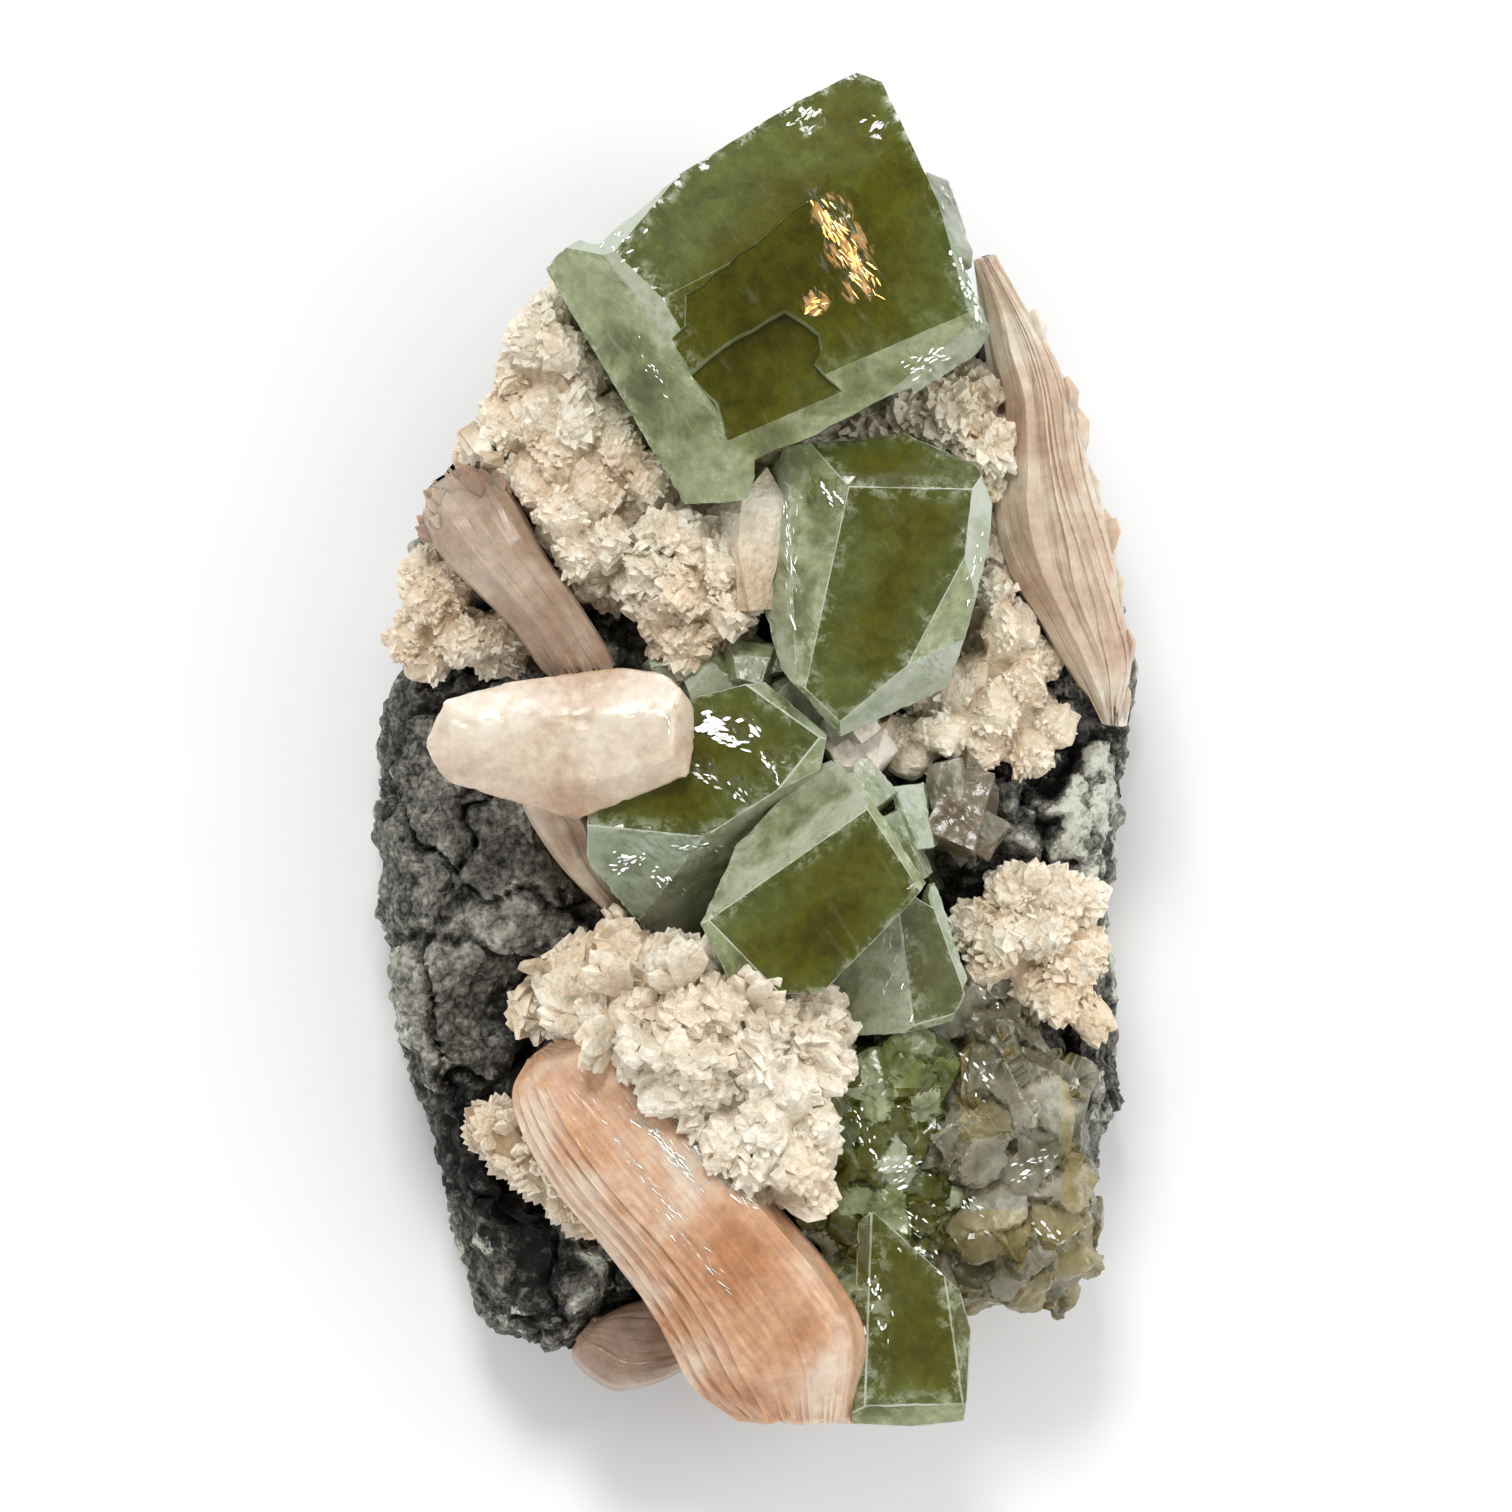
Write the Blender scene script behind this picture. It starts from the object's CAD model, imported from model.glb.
import math
import random

import bmesh
import bpy
from mathutils import Matrix, Vector, noise
from mathutils.bvhtree import BVHTree
from mathutils.kdtree import KDTree


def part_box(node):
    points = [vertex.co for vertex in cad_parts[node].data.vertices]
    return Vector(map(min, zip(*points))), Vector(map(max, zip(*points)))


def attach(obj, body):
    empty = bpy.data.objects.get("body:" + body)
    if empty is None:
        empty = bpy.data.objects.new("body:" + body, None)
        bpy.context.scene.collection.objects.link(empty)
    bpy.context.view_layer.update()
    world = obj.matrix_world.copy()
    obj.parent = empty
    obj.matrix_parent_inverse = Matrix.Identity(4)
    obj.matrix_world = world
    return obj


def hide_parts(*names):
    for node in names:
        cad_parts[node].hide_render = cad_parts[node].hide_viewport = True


# Green apophyllite with stilbite and calcite on basalt, lying on its flat-cut back.
# Points are in mm in the frame of the photograph's view, +X right and +Y up; meshes are in metres.
mm = 0.001
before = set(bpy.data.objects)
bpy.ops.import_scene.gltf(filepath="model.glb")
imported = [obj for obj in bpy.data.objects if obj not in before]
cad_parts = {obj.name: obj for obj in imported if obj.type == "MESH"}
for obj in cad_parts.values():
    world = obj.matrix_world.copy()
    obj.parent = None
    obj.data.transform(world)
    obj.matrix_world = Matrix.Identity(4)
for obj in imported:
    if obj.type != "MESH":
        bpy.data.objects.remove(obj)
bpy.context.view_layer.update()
topLow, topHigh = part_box("apophyllite_top_crystal")
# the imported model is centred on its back, a few tenths of a mm from the frame of the points below
shift = Vector((topLow[0] + 16.9 * mm, topHigh[1] - 54.1 * mm, topHigh[2] - 40.6 * mm))


def at(x, y, z):
    return Vector((x, y, z)) * mm + shift


# helpers for objects and meshes

def settle(obj):
    # the mesh that the modifiers make becomes the object's own
    bpy.context.view_layer.update()
    graph = bpy.context.evaluated_depsgraph_get()
    obj.data = bpy.data.meshes.new_from_object(obj.evaluated_get(graph))
    obj.modifiers.clear()
    return obj


def nodeCopy(name):
    # a CAD node's mesh is loose triangles, so the copy is merged first
    bm = bmesh.new()
    bm.from_mesh(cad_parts[name].data)
    bmesh.ops.remove_doubles(bm, verts=bm.verts, dist=1e-6)
    return bm


def looseObject(name, bm, materials=()):
    mesh = bpy.data.meshes.new(name)
    bm.to_mesh(mesh)
    bm.free()
    for material in materials:
        mesh.materials.append(material)
    obj = bpy.data.objects.new(name, mesh)
    bpy.context.collection.objects.link(obj)
    return obj


def declare(obj, slotName, *nodes):
    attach(obj, "root")
    if nodes:
        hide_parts(*nodes)
    return obj


def shadeBy(obj, degrees):
    obj.data.shade_smooth()
    obj.data.set_sharp_from_angle(angle=math.radians(degrees))


def evened(obj, voxel):
    even = obj.modifiers.new("even", "REMESH")
    even.mode = "VOXEL"
    even.voxel_size = voxel * mm
    return settle(obj)


# helpers for materials

def startMaterial(name):
    material = bpy.data.materials.new(name)
    material.use_nodes = True
    tree = material.node_tree
    return material, tree, tree.nodes["Principled BSDF"]


def addNode(tree, kind, values=None, **settings):
    made = tree.nodes.new(kind)
    for key, value in settings.items():
        setattr(made, key, value)
    for key, value in (values or {}).items():
        if isinstance(value, bpy.types.NodeSocket):
            tree.links.new(value, made.inputs[key])
        else:
            made.inputs[key].default_value = value
    return made


def ramp(tree, factor, stops):
    made = addNode(tree, "ShaderNodeValToRGB", {"Fac": factor})
    elements = made.color_ramp.elements
    for place, colour in stops[2:]:
        elements.new(place)
    for element, (place, colour) in zip(elements, sorted(stops)):
        element.position = place
        element.color = (*colour, 1) if len(colour) == 3 else colour
    return made.outputs["Color"]


def grain(tree, where, scale, detail=4.0, roughness=0.55, distortion=0.0):
    made = addNode(tree, "ShaderNodeTexNoise", {
        "Vector": where, "Scale": scale, "Detail": detail, "Roughness": roughness, "Distortion": distortion,
    })
    return made.outputs["Fac"]


def mixed(tree, factor, first, second, blend="MIX"):
    made = addNode(tree, "ShaderNodeMix", data_type="RGBA", blend_type=blend)
    for key, value in ((0, factor), (6, first), (7, second)):
        if isinstance(value, bpy.types.NodeSocket):
            tree.links.new(value, made.inputs[key])
        elif isinstance(value, (float, int)):
            made.inputs[key].default_value = value
        else:
            made.inputs[key].default_value = (*value, 1)
    return made.outputs[2]


def stretched(tree, where, scale, turn=(0, 0, 0)):
    size = [1 / value for value in scale]
    made = addNode(tree, "ShaderNodeMapping", {"Vector": where, "Scale": size, "Rotation": turn}, vector_type="TEXTURE")
    return made.outputs["Vector"]


def bumped(tree, shader, height, strength, distance):
    made = addNode(tree, "ShaderNodeBump", {"Height": height, "Strength": strength, "Distance": distance})
    tree.links.new(made.outputs["Normal"], shader.inputs["Normal"])


def objectPlace(tree):
    return addNode(tree, "ShaderNodeTexCoord").outputs["Object"]


# the camera looks straight down on the specimen, as the photograph does

cameraSetup = {"height": 2.0, "focusLevel": 0.03, "viewWidth": 0.12096, "sensor": 36.0}


def makeCamera():
    data = bpy.data.cameras.new("camera")
    data.sensor_width = cameraSetup["sensor"]
    data.lens = cameraSetup["sensor"] * (cameraSetup["height"] - cameraSetup["focusLevel"]) / cameraSetup["viewWidth"]
    data.clip_start = 0.05
    data.clip_end = 20
    camera = bpy.data.objects.new("camera", data)
    camera.location = (shift.x, shift.y, cameraSetup["height"])
    bpy.context.collection.objects.link(camera)
    bpy.context.scene.camera = camera


lighting = {
    "sky": 1.10,
    # by height, 0 at the horizon and 1 overhead, where the ceiling above the camera is dark
    "skyShades": [(0.0, (0.95, 0.95, 0.95)), (0.985, (0.12, 0.12, 0.12)), (0.80, (0.95, 0.95, 0.95))],
    "key": {"place": (-0.07, 0.54, 0.79), "size": 0.24, "power": 3.9},
    "side": {"place": (0.60, 0.10, 0.50), "size": 0.30, "power": 1.2},
}


def softbox(name, place, size, power):
    data = bpy.data.lights.new(name, "AREA")
    data.shape = "SQUARE"
    data.size = size
    data.energy = power
    lamp = bpy.data.objects.new(name, data)
    lamp.location = place
    lamp.rotation_euler = (-Vector(place)).to_track_quat("-Z", "Y").to_euler()
    bpy.context.collection.objects.link(lamp)


def makeStudio():
    world = bpy.data.worlds.new("studio")
    world.use_nodes = True
    background = world.node_tree.nodes["Background"]
    direction = addNode(world.node_tree, "ShaderNodeTexCoord").outputs["Generated"]
    height = addNode(world.node_tree, "ShaderNodeSeparateXYZ", {"Vector": direction}).outputs["Z"]
    shade = ramp(world.node_tree, height, lighting["skyShades"])
    world.node_tree.links.new(shade, background.inputs["Color"])
    background.inputs["Strength"].default_value = lighting["sky"]
    bpy.context.scene.world = world
    softbox("key", **lighting["key"])
    softbox("side", **lighting["side"])
    bpy.context.scene.view_settings.view_transform = "Standard"
    material, tree, shader = startMaterial("floor")
    where = objectPlace(tree)
    pale = ramp(tree, grain(tree, where, 6.0), [(0.3, (0.9, 0.9, 0.9)), (0.7, (0.93, 0.93, 0.93))])
    tree.links.new(pale, shader.inputs["Base Color"])
    shader.inputs["Roughness"].default_value = 0.9
    shader.inputs["Specular IOR Level"].default_value = 0.1
    bm = bmesh.new()
    bmesh.ops.create_circle(bm, cap_ends=True, segments=64, radius=3.0)
    floor = looseObject("floor", bm, [material])


# apophyllite: the zones of a crystal, each with a finish of its own

zones = {
    # colours from the core to the frosted parts, transmission, roughness, ripples and relief in mm
    "olive": {"deep": (0.078, 0.068, 0.004), "middle": (0.135, 0.134, 0.010), "pale": (0.170, 0.200, 0.050),
              "transmission": 0.50, "roughness": 0.10, "bump": 0.25, "relief": 0.02, "wisps": 0.16},
    "mint": {"deep": (0.095, 0.115, 0.020), "middle": (0.215, 0.250, 0.072), "pale": (0.45, 0.51, 0.26),
             "transmission": 0.42, "roughness": 0.20, "bump": 0.50, "relief": 0.06, "contrast": 3.4, "clouds": 170.0},
    "veil": {"deep": (0.14, 0.165, 0.050), "middle": (0.31, 0.355, 0.165), "pale": (0.62, 0.67, 0.46),
             "transmission": 0.45, "roughness": 0.22, "bump": 0.70, "relief": 0.09, "contrast": 3.2, "clouds": 200.0},
    "silver": {"deep": (0.09, 0.12, 0.03), "middle": (0.25, 0.33, 0.15), "pale": (0.56, 0.65, 0.46),
               "transmission": 0.50, "roughness": 0.08, "bump": 0.80, "relief": 0.06},
    "gold": {"deep": (0.078, 0.066, 0.004), "middle": (0.120, 0.122, 0.009), "pale": (0.18, 0.21, 0.05),
             "transmission": 0.50, "roughness": 0.10, "bump": 0.60, "relief": 0.02},
    "rim": {"deep": (0.24, 0.29, 0.10), "middle": (0.42, 0.49, 0.28), "pale": (0.76, 0.82, 0.68),
            "transmission": 0.40, "roughness": 0.30, "bump": 0.60, "relief": 0.05},
    "clear": {"deep": (0.52, 0.56, 0.48), "middle": (0.74, 0.77, 0.70), "pale": (0.90, 0.92, 0.88),
              "transmission": 0.28, "roughness": 0.08, "bump": 0.50, "relief": 0.05},
    "grey": {"deep": (0.095, 0.088, 0.030), "middle": (0.215, 0.200, 0.110), "pale": (0.46, 0.44, 0.32),
             "transmission": 0.45, "roughness": 0.24, "bump": 0.70, "relief": 0.10},
    "honey": {"deep": (0.15, 0.105, 0.020), "middle": (0.29, 0.225, 0.070), "pale": (0.52, 0.45, 0.24),
              "transmission": 0.45, "roughness": 0.20, "bump": 0.60, "relief": 0.08},
    "brown": {"deep": (0.075, 0.042, 0.012), "middle": (0.16, 0.105, 0.042), "pale": (0.40, 0.33, 0.22),
              "transmission": 0.50, "roughness": 0.16, "bump": 0.60, "relief": 0.06},
    "flake": {"deep": (0.45, 0.50, 0.38), "middle": (0.62, 0.68, 0.55), "pale": (0.85, 0.88, 0.80),
              "transmission": 0.40, "roughness": 0.12, "bump": 0.20, "relief": 0.0},
    "goldFlake": {"deep": (0.55, 0.20, 0.03), "middle": (0.75, 0.32, 0.06), "pale": (0.88, 0.46, 0.13),
                  "transmission": 0.0, "roughness": 0.42, "bump": 0.20, "relief": 0.0, "metal": 0.85},
    "peach": {"deep": (0.36, 0.26, 0.17), "middle": (0.55, 0.44, 0.33), "pale": (0.76, 0.69, 0.60),
              "transmission": 0.15, "roughness": 0.28, "bump": 0.40, "relief": 0.03},
}
calciteNames = ["grey", "honey", "brown", "peach"]
absorptions = {
    "apophyllite": {"colour": (0.55, 0.68, 0.12), "density": 80.0},
    "clear": {"colour": (0.85, 0.90, 0.85), "density": 15.0},
    "calcite": {"colour": (0.86, 0.72, 0.42), "density": 60.0},
}
frostColour = (0.69, 0.75, 0.55)
chalkColour = (0.74, 0.70, 0.60)
goldColour = (0.90, 0.50, 0.16)


def turned(tree, first, second, third, operation="MULTIPLY_ADD"):
    return addNode(tree, "ShaderNodeMath", {0: first, 1: second, 2: third}, operation=operation).outputs[0]


def product(tree, first, second):
    return addNode(tree, "ShaderNodeMath", {0: first, 1: second}, operation="MULTIPLY", use_clamp=True).outputs[0]


def threshold(tree, factor, low, high):
    return addNode(tree, "ShaderNodeMapRange", {"Value": factor, "From Min": low, "From Max": high}).outputs["Result"]


def makeClear(name, look, tint, paler):
    # a see-through mineral: tone from the place in the crystal, then clouds, veils, cracks and frosted edges
    material, tree, shader = startMaterial(name)
    where = objectPlace(tree)
    depth = addNode(tree, "ShaderNodeAttribute", attribute_name="inner").outputs["Fac"]
    edge = addNode(tree, "ShaderNodeAttribute", attribute_name="edge").outputs["Fac"]
    glint = addNode(tree, "ShaderNodeAttribute", attribute_name="glint").outputs["Fac"]
    contrast = look.get("contrast", 2.2)
    clouds = grain(tree, where, look.get("clouds", 105.0), 4.0, 0.60, 0.5)
    tone = turned(tree, clouds, contrast, 0.66 - contrast / 2)
    tone = turned(tree, depth, -0.45, tone)
    tone = turned(tree, edge, -0.30, turned(tree, tone, 1.0, 0.26))
    tone = turned(tree, addNode(tree, "ShaderNodeAttribute", attribute_name="shade").outputs["Fac"], 1.0, tone)
    colour = ramp(tree, tone, [(0.0, look["deep"]), (1.0, look["pale"]), (0.48, look["middle"])])
    mottled = grain(tree, where, 620.0, 5.0, 0.74, 0.2)
    colour = mixed(tree, 0.6, colour, ramp(tree, mottled, [(0.30, (0.20, 0.20, 0.20)), (0.70, (0.80, 0.80, 0.80))]),
                   "OVERLAY")
    wisps = grain(tree, stretched(tree, where, (1300.0, 150.0, 600.0), (0, 0, 0.56)), 1.0, 4.0, 0.7, 0.3)
    nearEdge = threshold(tree, edge, 0.34, 0.0)
    frost = product(tree, nearEdge, threshold(tree, mottled, 0.50, 0.62))
    white = turned(tree, threshold(tree, wisps, 0.58, 0.80), look.get("wisps", 0.40), product(tree, frost, 0.8))
    colour = mixed(tree, product(tree, white, 1.0), colour, paler)
    if name.endswith("gold"):
        streaks = grain(tree, stretched(tree, where, (1900.0, 420.0, 420.0), (0, 0, 0.56)), 1.0, 4.0, 0.6, 0.7)
        shine = product(tree, threshold(tree, streaks, 0.50, 0.56), threshold(tree, glint, 0.1, 0.5))
        colour = mixed(tree, shine, colour, goldColour)
    tree.links.new(colour, shader.inputs["Base Color"])
    tree.links.new(turned(tree, product(tree, white, 1.0), 0.25, look["roughness"]), shader.inputs["Roughness"])
    shader.inputs["Transmission Weight"].default_value = look["transmission"]
    shader.inputs["IOR"].default_value = 1.535
    shader.inputs["Metallic"].default_value = look.get("metal", 0.0)
    fine = grain(tree, stretched(tree, where, (2600.0, 500.0, 500.0), (0, 0, 0.56)), 1.0, 3.0, 0.6)
    pits = grain(tree, where, 1500.0, 3.0, 0.7)
    bumped(tree, shader, mixed(tree, 0.5, fine, pits), look["bump"], 0.12 * mm)
    inside = addNode(tree, "ShaderNodeVolumeAbsorption")
    inside.inputs["Color"].default_value = (*tint["colour"], 1)
    inside.inputs["Density"].default_value = tint["density"]
    tree.links.new(inside.outputs["Volume"], tree.nodes["Material Output"].inputs["Volume"])
    return material


zoneNames = list(zones)
wear = {"rim": 0.10, "ledgeSlope": 0.45, "ragged": 0.20, "grid": 0.62, "chip": 0.45, "fine": 3, "glint": 0.085}


def sliceOff(bm, point, normal, zone):
    # cuts away what lies past the plane and closes the cut with one flat face of that zone
    cut = bmesh.ops.bisect_plane(
        bm, geom=bm.verts[:] + bm.edges[:] + bm.faces[:], dist=1e-7, plane_co=point, plane_no=normal, clear_outer=True
    )
    rim = [part for part in cut["geom_cut"] if isinstance(part, bmesh.types.BMEdge)]
    if rim:
        for face in bmesh.ops.edgeloop_fill(bm, edges=rim)["faces"]:
            face.material_index = zoneNames.index(zone)


def topLevel(form, x, y):
    # height in mm of the crystal's flat top over a point
    px, py, pz = form["top"]["point"]
    towards = math.radians(form["top"]["towards"])
    fall = math.tan(math.radians(form["top"]["dip"]))
    return pz - ((x - px) * math.cos(towards) + (y - py) * math.sin(towards)) * fall


def facePlanes(form):
    # point, normal and zone of each flat face; each goes through a line and dips outwards, to the line's right
    px, py, pz = form["top"]["point"]
    towards, dip = math.radians(form["top"]["towards"]), math.radians(form["top"]["dip"])
    normal = Vector((math.cos(towards) * math.sin(dip), math.sin(towards) * math.sin(dip), math.cos(dip)))
    planes = [(at(px, py, pz), normal, "olive")]
    for x1, y1, x2, y2, drop, dip, zone in form["faces"]:
        start = Vector((x1, y1, topLevel(form, x1, y1) - drop))
        end = Vector((x2, y2, topLevel(form, x2, y2) - drop))
        outward = Vector((y2 - y1, x1 - x2, 0)).normalized()
        down = outward * math.cos(math.radians(dip)) - Vector((0, 0, 1)) * math.sin(math.radians(dip))
        normal = down.cross(end - start).normalized()
        planes.append((at(*start), normal if normal.dot(outward) > 0 else -normal, zone))
    return planes


def cutCrystal(form):
    # a block cut by the planes of its faces
    bm = bmesh.new()
    bmesh.ops.create_cube(bm, size=1)
    bmesh.ops.scale(bm, vec=(80 * mm, 80 * mm, (50 - form["root"]) * mm), verts=bm.verts)
    px, py, _ = form["top"]["point"]
    bmesh.ops.translate(bm, vec=at(px, py, (50 + form["root"]) / 2), verts=bm.verts)
    for point, normal, zone in facePlanes(form):
        sliceOff(bm, point, normal, zone)
    bmesh.ops.recalc_face_normals(bm, faces=bm.faces)
    return bm


def ledgeCutter(chance, outline, low, high, zone, slope=wear["ledgeSlope"]):
    # a ragged prism that widens upwards, so that the ledge's wall slopes
    bm = bmesh.new()
    corners = [Vector(corner) for corner in outline]
    ring = []
    for a, b in zip(corners, corners[1:] + corners[:1]):
        pieces = max(1, int((b - a).length / 1.3))
        for i in range(pieces):
            spot = a.lerp(b, i / pieces)
            ragged = wear["ragged"] if i else 0.0
            ring.append(spot + Vector((chance.uniform(-1, 1), chance.uniform(-1, 1))) * ragged)
    face = bmesh.ops.contextual_create(bm, geom=[bm.verts.new(at(x, y, low)) for x, y in ring])["faces"]
    middle = at(*(sum(corners, Vector((0, 0))) / len(corners)), 0)
    raised = bmesh.ops.extrude_face_region(bm, geom=face)["geom"]
    upper = [part for part in raised if isinstance(part, bmesh.types.BMVert)]
    reach = max((corner - Vector(middle[:2]) / mm).length for corner in corners)
    widen = 1 + (high - low) * slope / reach
    bmesh.ops.scale(bm, vec=(widen, widen, 1), space=Matrix.Translation(-middle), verts=upper)
    bmesh.ops.translate(bm, vec=(0, 0, (high - low) * mm), verts=upper)
    bmesh.ops.recalc_face_normals(bm, faces=bm.faces)
    for face in bm.faces:
        face.material_index = zoneNames.index(zone if abs(face.normal.z) > 0.9 or not slope else "rim")
    bmesh.ops.triangulate(bm, faces=bm.faces)
    return looseObject("cutter", bm)


def carve(obj, cutters):
    for cutter in cutters:
        cut = obj.modifiers.new("carve", "BOOLEAN")
        cut.operation = "DIFFERENCE"
        cut.object = cutter
    settle(obj)
    for cutter in cutters:
        bpy.data.objects.remove(cutter)
    return obj


def frostEdges(bm, width, zone="rim"):
    # narrow worn faces along the sharp edges
    sharp = [edge for edge in bm.edges if edge.is_manifold and edge.calc_face_angle() > 0.12]
    made = bmesh.ops.bevel(
        bm, geom=sharp, offset=width * mm, offset_type="OFFSET", segments=1, profile=0.5, affect="EDGES",
        material=-1, clamp_overlap=True
    )
    for face in made["faces"]:
        face.material_index = zoneNames.index(zone)


def gridded(bm, step):
    # cuts the faces into small squares, which can then hold relief and shading
    for axis in range(3):
        places = [vert.co[axis] for vert in bm.verts]
        low, high = min(places), max(places)
        direction = Vector([1.0 if i == axis else 0.0 for i in range(3)])
        place = low + step * mm * 0.53
        while place < high:
            bmesh.ops.bisect_plane(bm, geom=bm.verts[:] + bm.edges[:] + bm.faces[:], dist=1e-7,
                                   plane_co=direction * place, plane_no=direction)
            place += step * mm
    bmesh.ops.dissolve_degenerate(bm, dist=1e-8, edges=bm.edges)
    bmesh.ops.triangulate(bm, faces=bm.faces)


def patchStrength(spot, glints):
    strength = 0.0
    for x, y, radius, full in glints:
        away = math.hypot(spot.x - x, spot.y - y) / radius
        strength = max(strength, full * max(0.0, min(1.0, 2.2 - 2.0 * away)))
    return strength


def edgeDistance(spot, planes):
    # 0 at a sharp edge of the crystal, 1 from 2.5 mm off it; faces that lie nearly level share no sharp edge
    reaches = sorted(((point - spot).dot(normal) / mm, i) for i, (point, normal, _) in enumerate(planes))
    if not reaches:
        return 0.5
    nearest = planes[reaches[0][1]][1]
    others = [reach for reach, i in reaches[1:] if planes[i][1].dot(nearest) < 0.92]
    return max(0.0, min(1.0, others[0] / 2.5)) if others else 1.0


def weather(bm, planes, glints, shades=()):
    # finer faces in the broken patches, then a slight relief; three layers tell the material where it is
    near = set()
    for face in bm.faces:
        if face.normal.z > 0.2 and patchStrength((face.calc_center_median() - shift) / mm, glints) > 0:
            near.update(face.edges)
    if near:
        bmesh.ops.subdivide_edges(bm, edges=list(near), cuts=wear["fine"], use_grid_fill=True)
        bmesh.ops.triangulate(bm, faces=bm.faces)
    inner = bm.verts.layers.float.new("inner")
    edge = bm.verts.layers.float.new("edge")
    glint = bm.verts.layers.float.new("glint")
    shade = bm.verts.layers.float.new("shade")
    bm.normal_update()
    moves = []
    for vert in bm.verts:
        reaches = [((point - vert.co).dot(normal) / mm, normal.z) for point, normal, _ in planes]
        vert[inner] = max(0.0, min([reach for reach, tilt in reaches if tilt < 0.75] + [10.0])) / 10
        vert[edge] = edgeDistance(vert.co, planes)
        spot = (vert.co - shift) / mm
        vert[glint] = patchStrength(spot, glints)
        for x, y, radius, strength in shades:
            vert[shade] += strength * max(0.0, 1 - ((spot.x - x) ** 2 + (spot.y - y) ** 2) / radius ** 2)
        names = [zoneNames[face.material_index] for face in vert.link_faces]
        push = -max(zones[name]["relief"] for name in names) * (0.5 + noise.noise(spot * 1.1))
        if vert[edge] < 0.12:
            push -= wear["chip"] * max(0.0, noise.noise(spot * 0.9 + Vector((3, 3, 3))) - 0.16)
            push -= 0.12 * max(0.0, noise.noise(spot * 2.6) - 0.1)
        if vert[glint] > 0:
            along, across = spot.x * 0.53 - spot.y * 0.85, spot.x * 0.85 + spot.y * 0.53
            ridge = noise.noise(Vector((along * 0.8, across * 2.2, spot.z)))
            ridge += 0.6 * noise.noise(Vector((along * 2.0, across * 4.4, spot.z + 5)))
            push += (ridge - 0.4) * vert[glint] * wear["glint"] * 2
        moves.append(vert.normal * push * mm)
    for vert, move in zip(bm.verts, moves):
        vert.co += move


topCrystal = {
    "root": 13.0,
    "top": {"point": (2.0, 40.0, 40.2), "towards": 120, "dip": 2.0},
    "faces": [
        (9.8, 50.0, -9.6, 39.9, 0.5, 9, "olive"),
        (-9.9, 40.6, -0.2, 24.0, 0.0, 24, "veil"),
        (-13.9, 41.0, -1.2, 22.6, 1.9, 47, "mint"),
        (5.1, 31.1, 16.3, 36.0, 0.2, 32, "mint"),
        (16.4, 35.5, 14.2, 44.4, 0.2, 50, "silver"),
        (-1.0, 23.2, 6.1, 27.5, 1.6, 50, "veil"),
        (-9.6, 43.1, -12.5, 40.0, 1.3, 42, "rim"),
        (-5.8, 19.9, -0.6, 20.6, 6.0, 97, "veil"),
        (-0.6, 20.6, 17.8, 32.3, 6.0, 95, "mint"),
        (17.8, 32.5, 18.5, 33.9, 6.0, 94, "mint"),
        (18.5, 33.9, 15.3, 41.4, 6.0, 94, "mint"),
        (15.3, 41.4, 9.8, 53.4, 6.0, 94, "olive"),
        (9.8, 53.4, 8.0, 54.1, 6.0, 94, "mint"),
        (8.0, 54.1, 3.3, 51.8, 6.0, 94, "olive"),
        (3.3, 51.8, -14.2, 40.9, 6.0, 94, "olive"),
        (-15.2, 40.5, -16.9, 38.8, 6.0, 94, "mint"),
        (-16.9, 39.0, -5.8, 19.9, 6.0, 95, "mint"),
    ],
    # ledges broken into the flat top: outline, depth under the top
    "ledges": [
        ([(-5.5, 36.7), (4.1, 44.0), (5.2, 45.1), (6.2, 46.2), (9.4, 47.3), (11.2, 48.7), (22.0, 50.0), (24.0, 30.0),
          (6.0, 16.0), (-4.0, 22.0), (-8.8, 31.6), (-5.6, 34.2)], 0.38, "olive"),
        ([(-5.1, 30.3), (-2.6, 32.4), (2.3, 35.2), (4.9, 33.4), (5.1, 32.2), (4.6, 31.1), (8.6, 27.0), (6.1, 18.0),
          (-0.2, 18.0), (-3.0, 28.1)], 1.5, "olive"),
    ],
    "shades": [(-2.0, 45.0, 8.0, 0.16), (6.0, 50.0, 6.0, 0.22), (11.0, 45.0, 6.0, 0.12), (0.0, 38.6, 5.5, -0.22),
               (-5.0, 38.5, 5.0, -0.10), (0.5, 30.0, 6.0, -0.30), (9.0, 36.0, 5.0, -0.16), (15.0, 40.0, 4.0, 0.14),
               (-13.0, 38.0, 5.0, 0.16), (-8.0, 29.0, 4.0, -0.14), (-4.0, 23.0, 4.0, 0.10), (15.0, 33.0, 4.0, 0.18),
               (-10.6, 40.4, 3.0, 0.40)],
    "gold": [(6.1, 43.2, 2.4), (7.4, 40.4, 2.8), (8.2, 37.4, 2.4), (4.9, 36.2, 1.8)],
    "notches": [[(-6.0, 46.2), (-9.6, 43.2), (-12.5, 40.8), (-13.4, 40.9), (-14.4, 41.4), (-15.0, 43.0), (-9.0, 48.0)],
                [(-0.6, 19.6), (-0.1, 23.6), (3.3, 25.0), (6.1, 26.4), (9.0, 27.9), (12.4, 29.3), (15.0, 22.0)]],
    "glints": [(6.1, 43.2, 1.7, 1.0), (7.4, 40.6, 2.0, 1.0), (8.2, 37.6, 1.7, 0.9), (4.7, 36.2, 1.2, 0.9),
               (16.3, 38.8, 1.3, 1.0), (17.0, 36.4, 1.5, 1.0), (17.5, 34.4, 1.2, 1.0), (13.5, 31.8, 2.0, 0.8),
               (4.3, 51.0, 1.3, 0.8), (9.8, 50.2, 0.9, 0.8), (-3.2, 25.4, 1.2, 0.6), (-6.4, 30.6, 1.4, 0.9),
               (-9.8, 35.8, 1.4, 0.8)],
}
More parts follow.
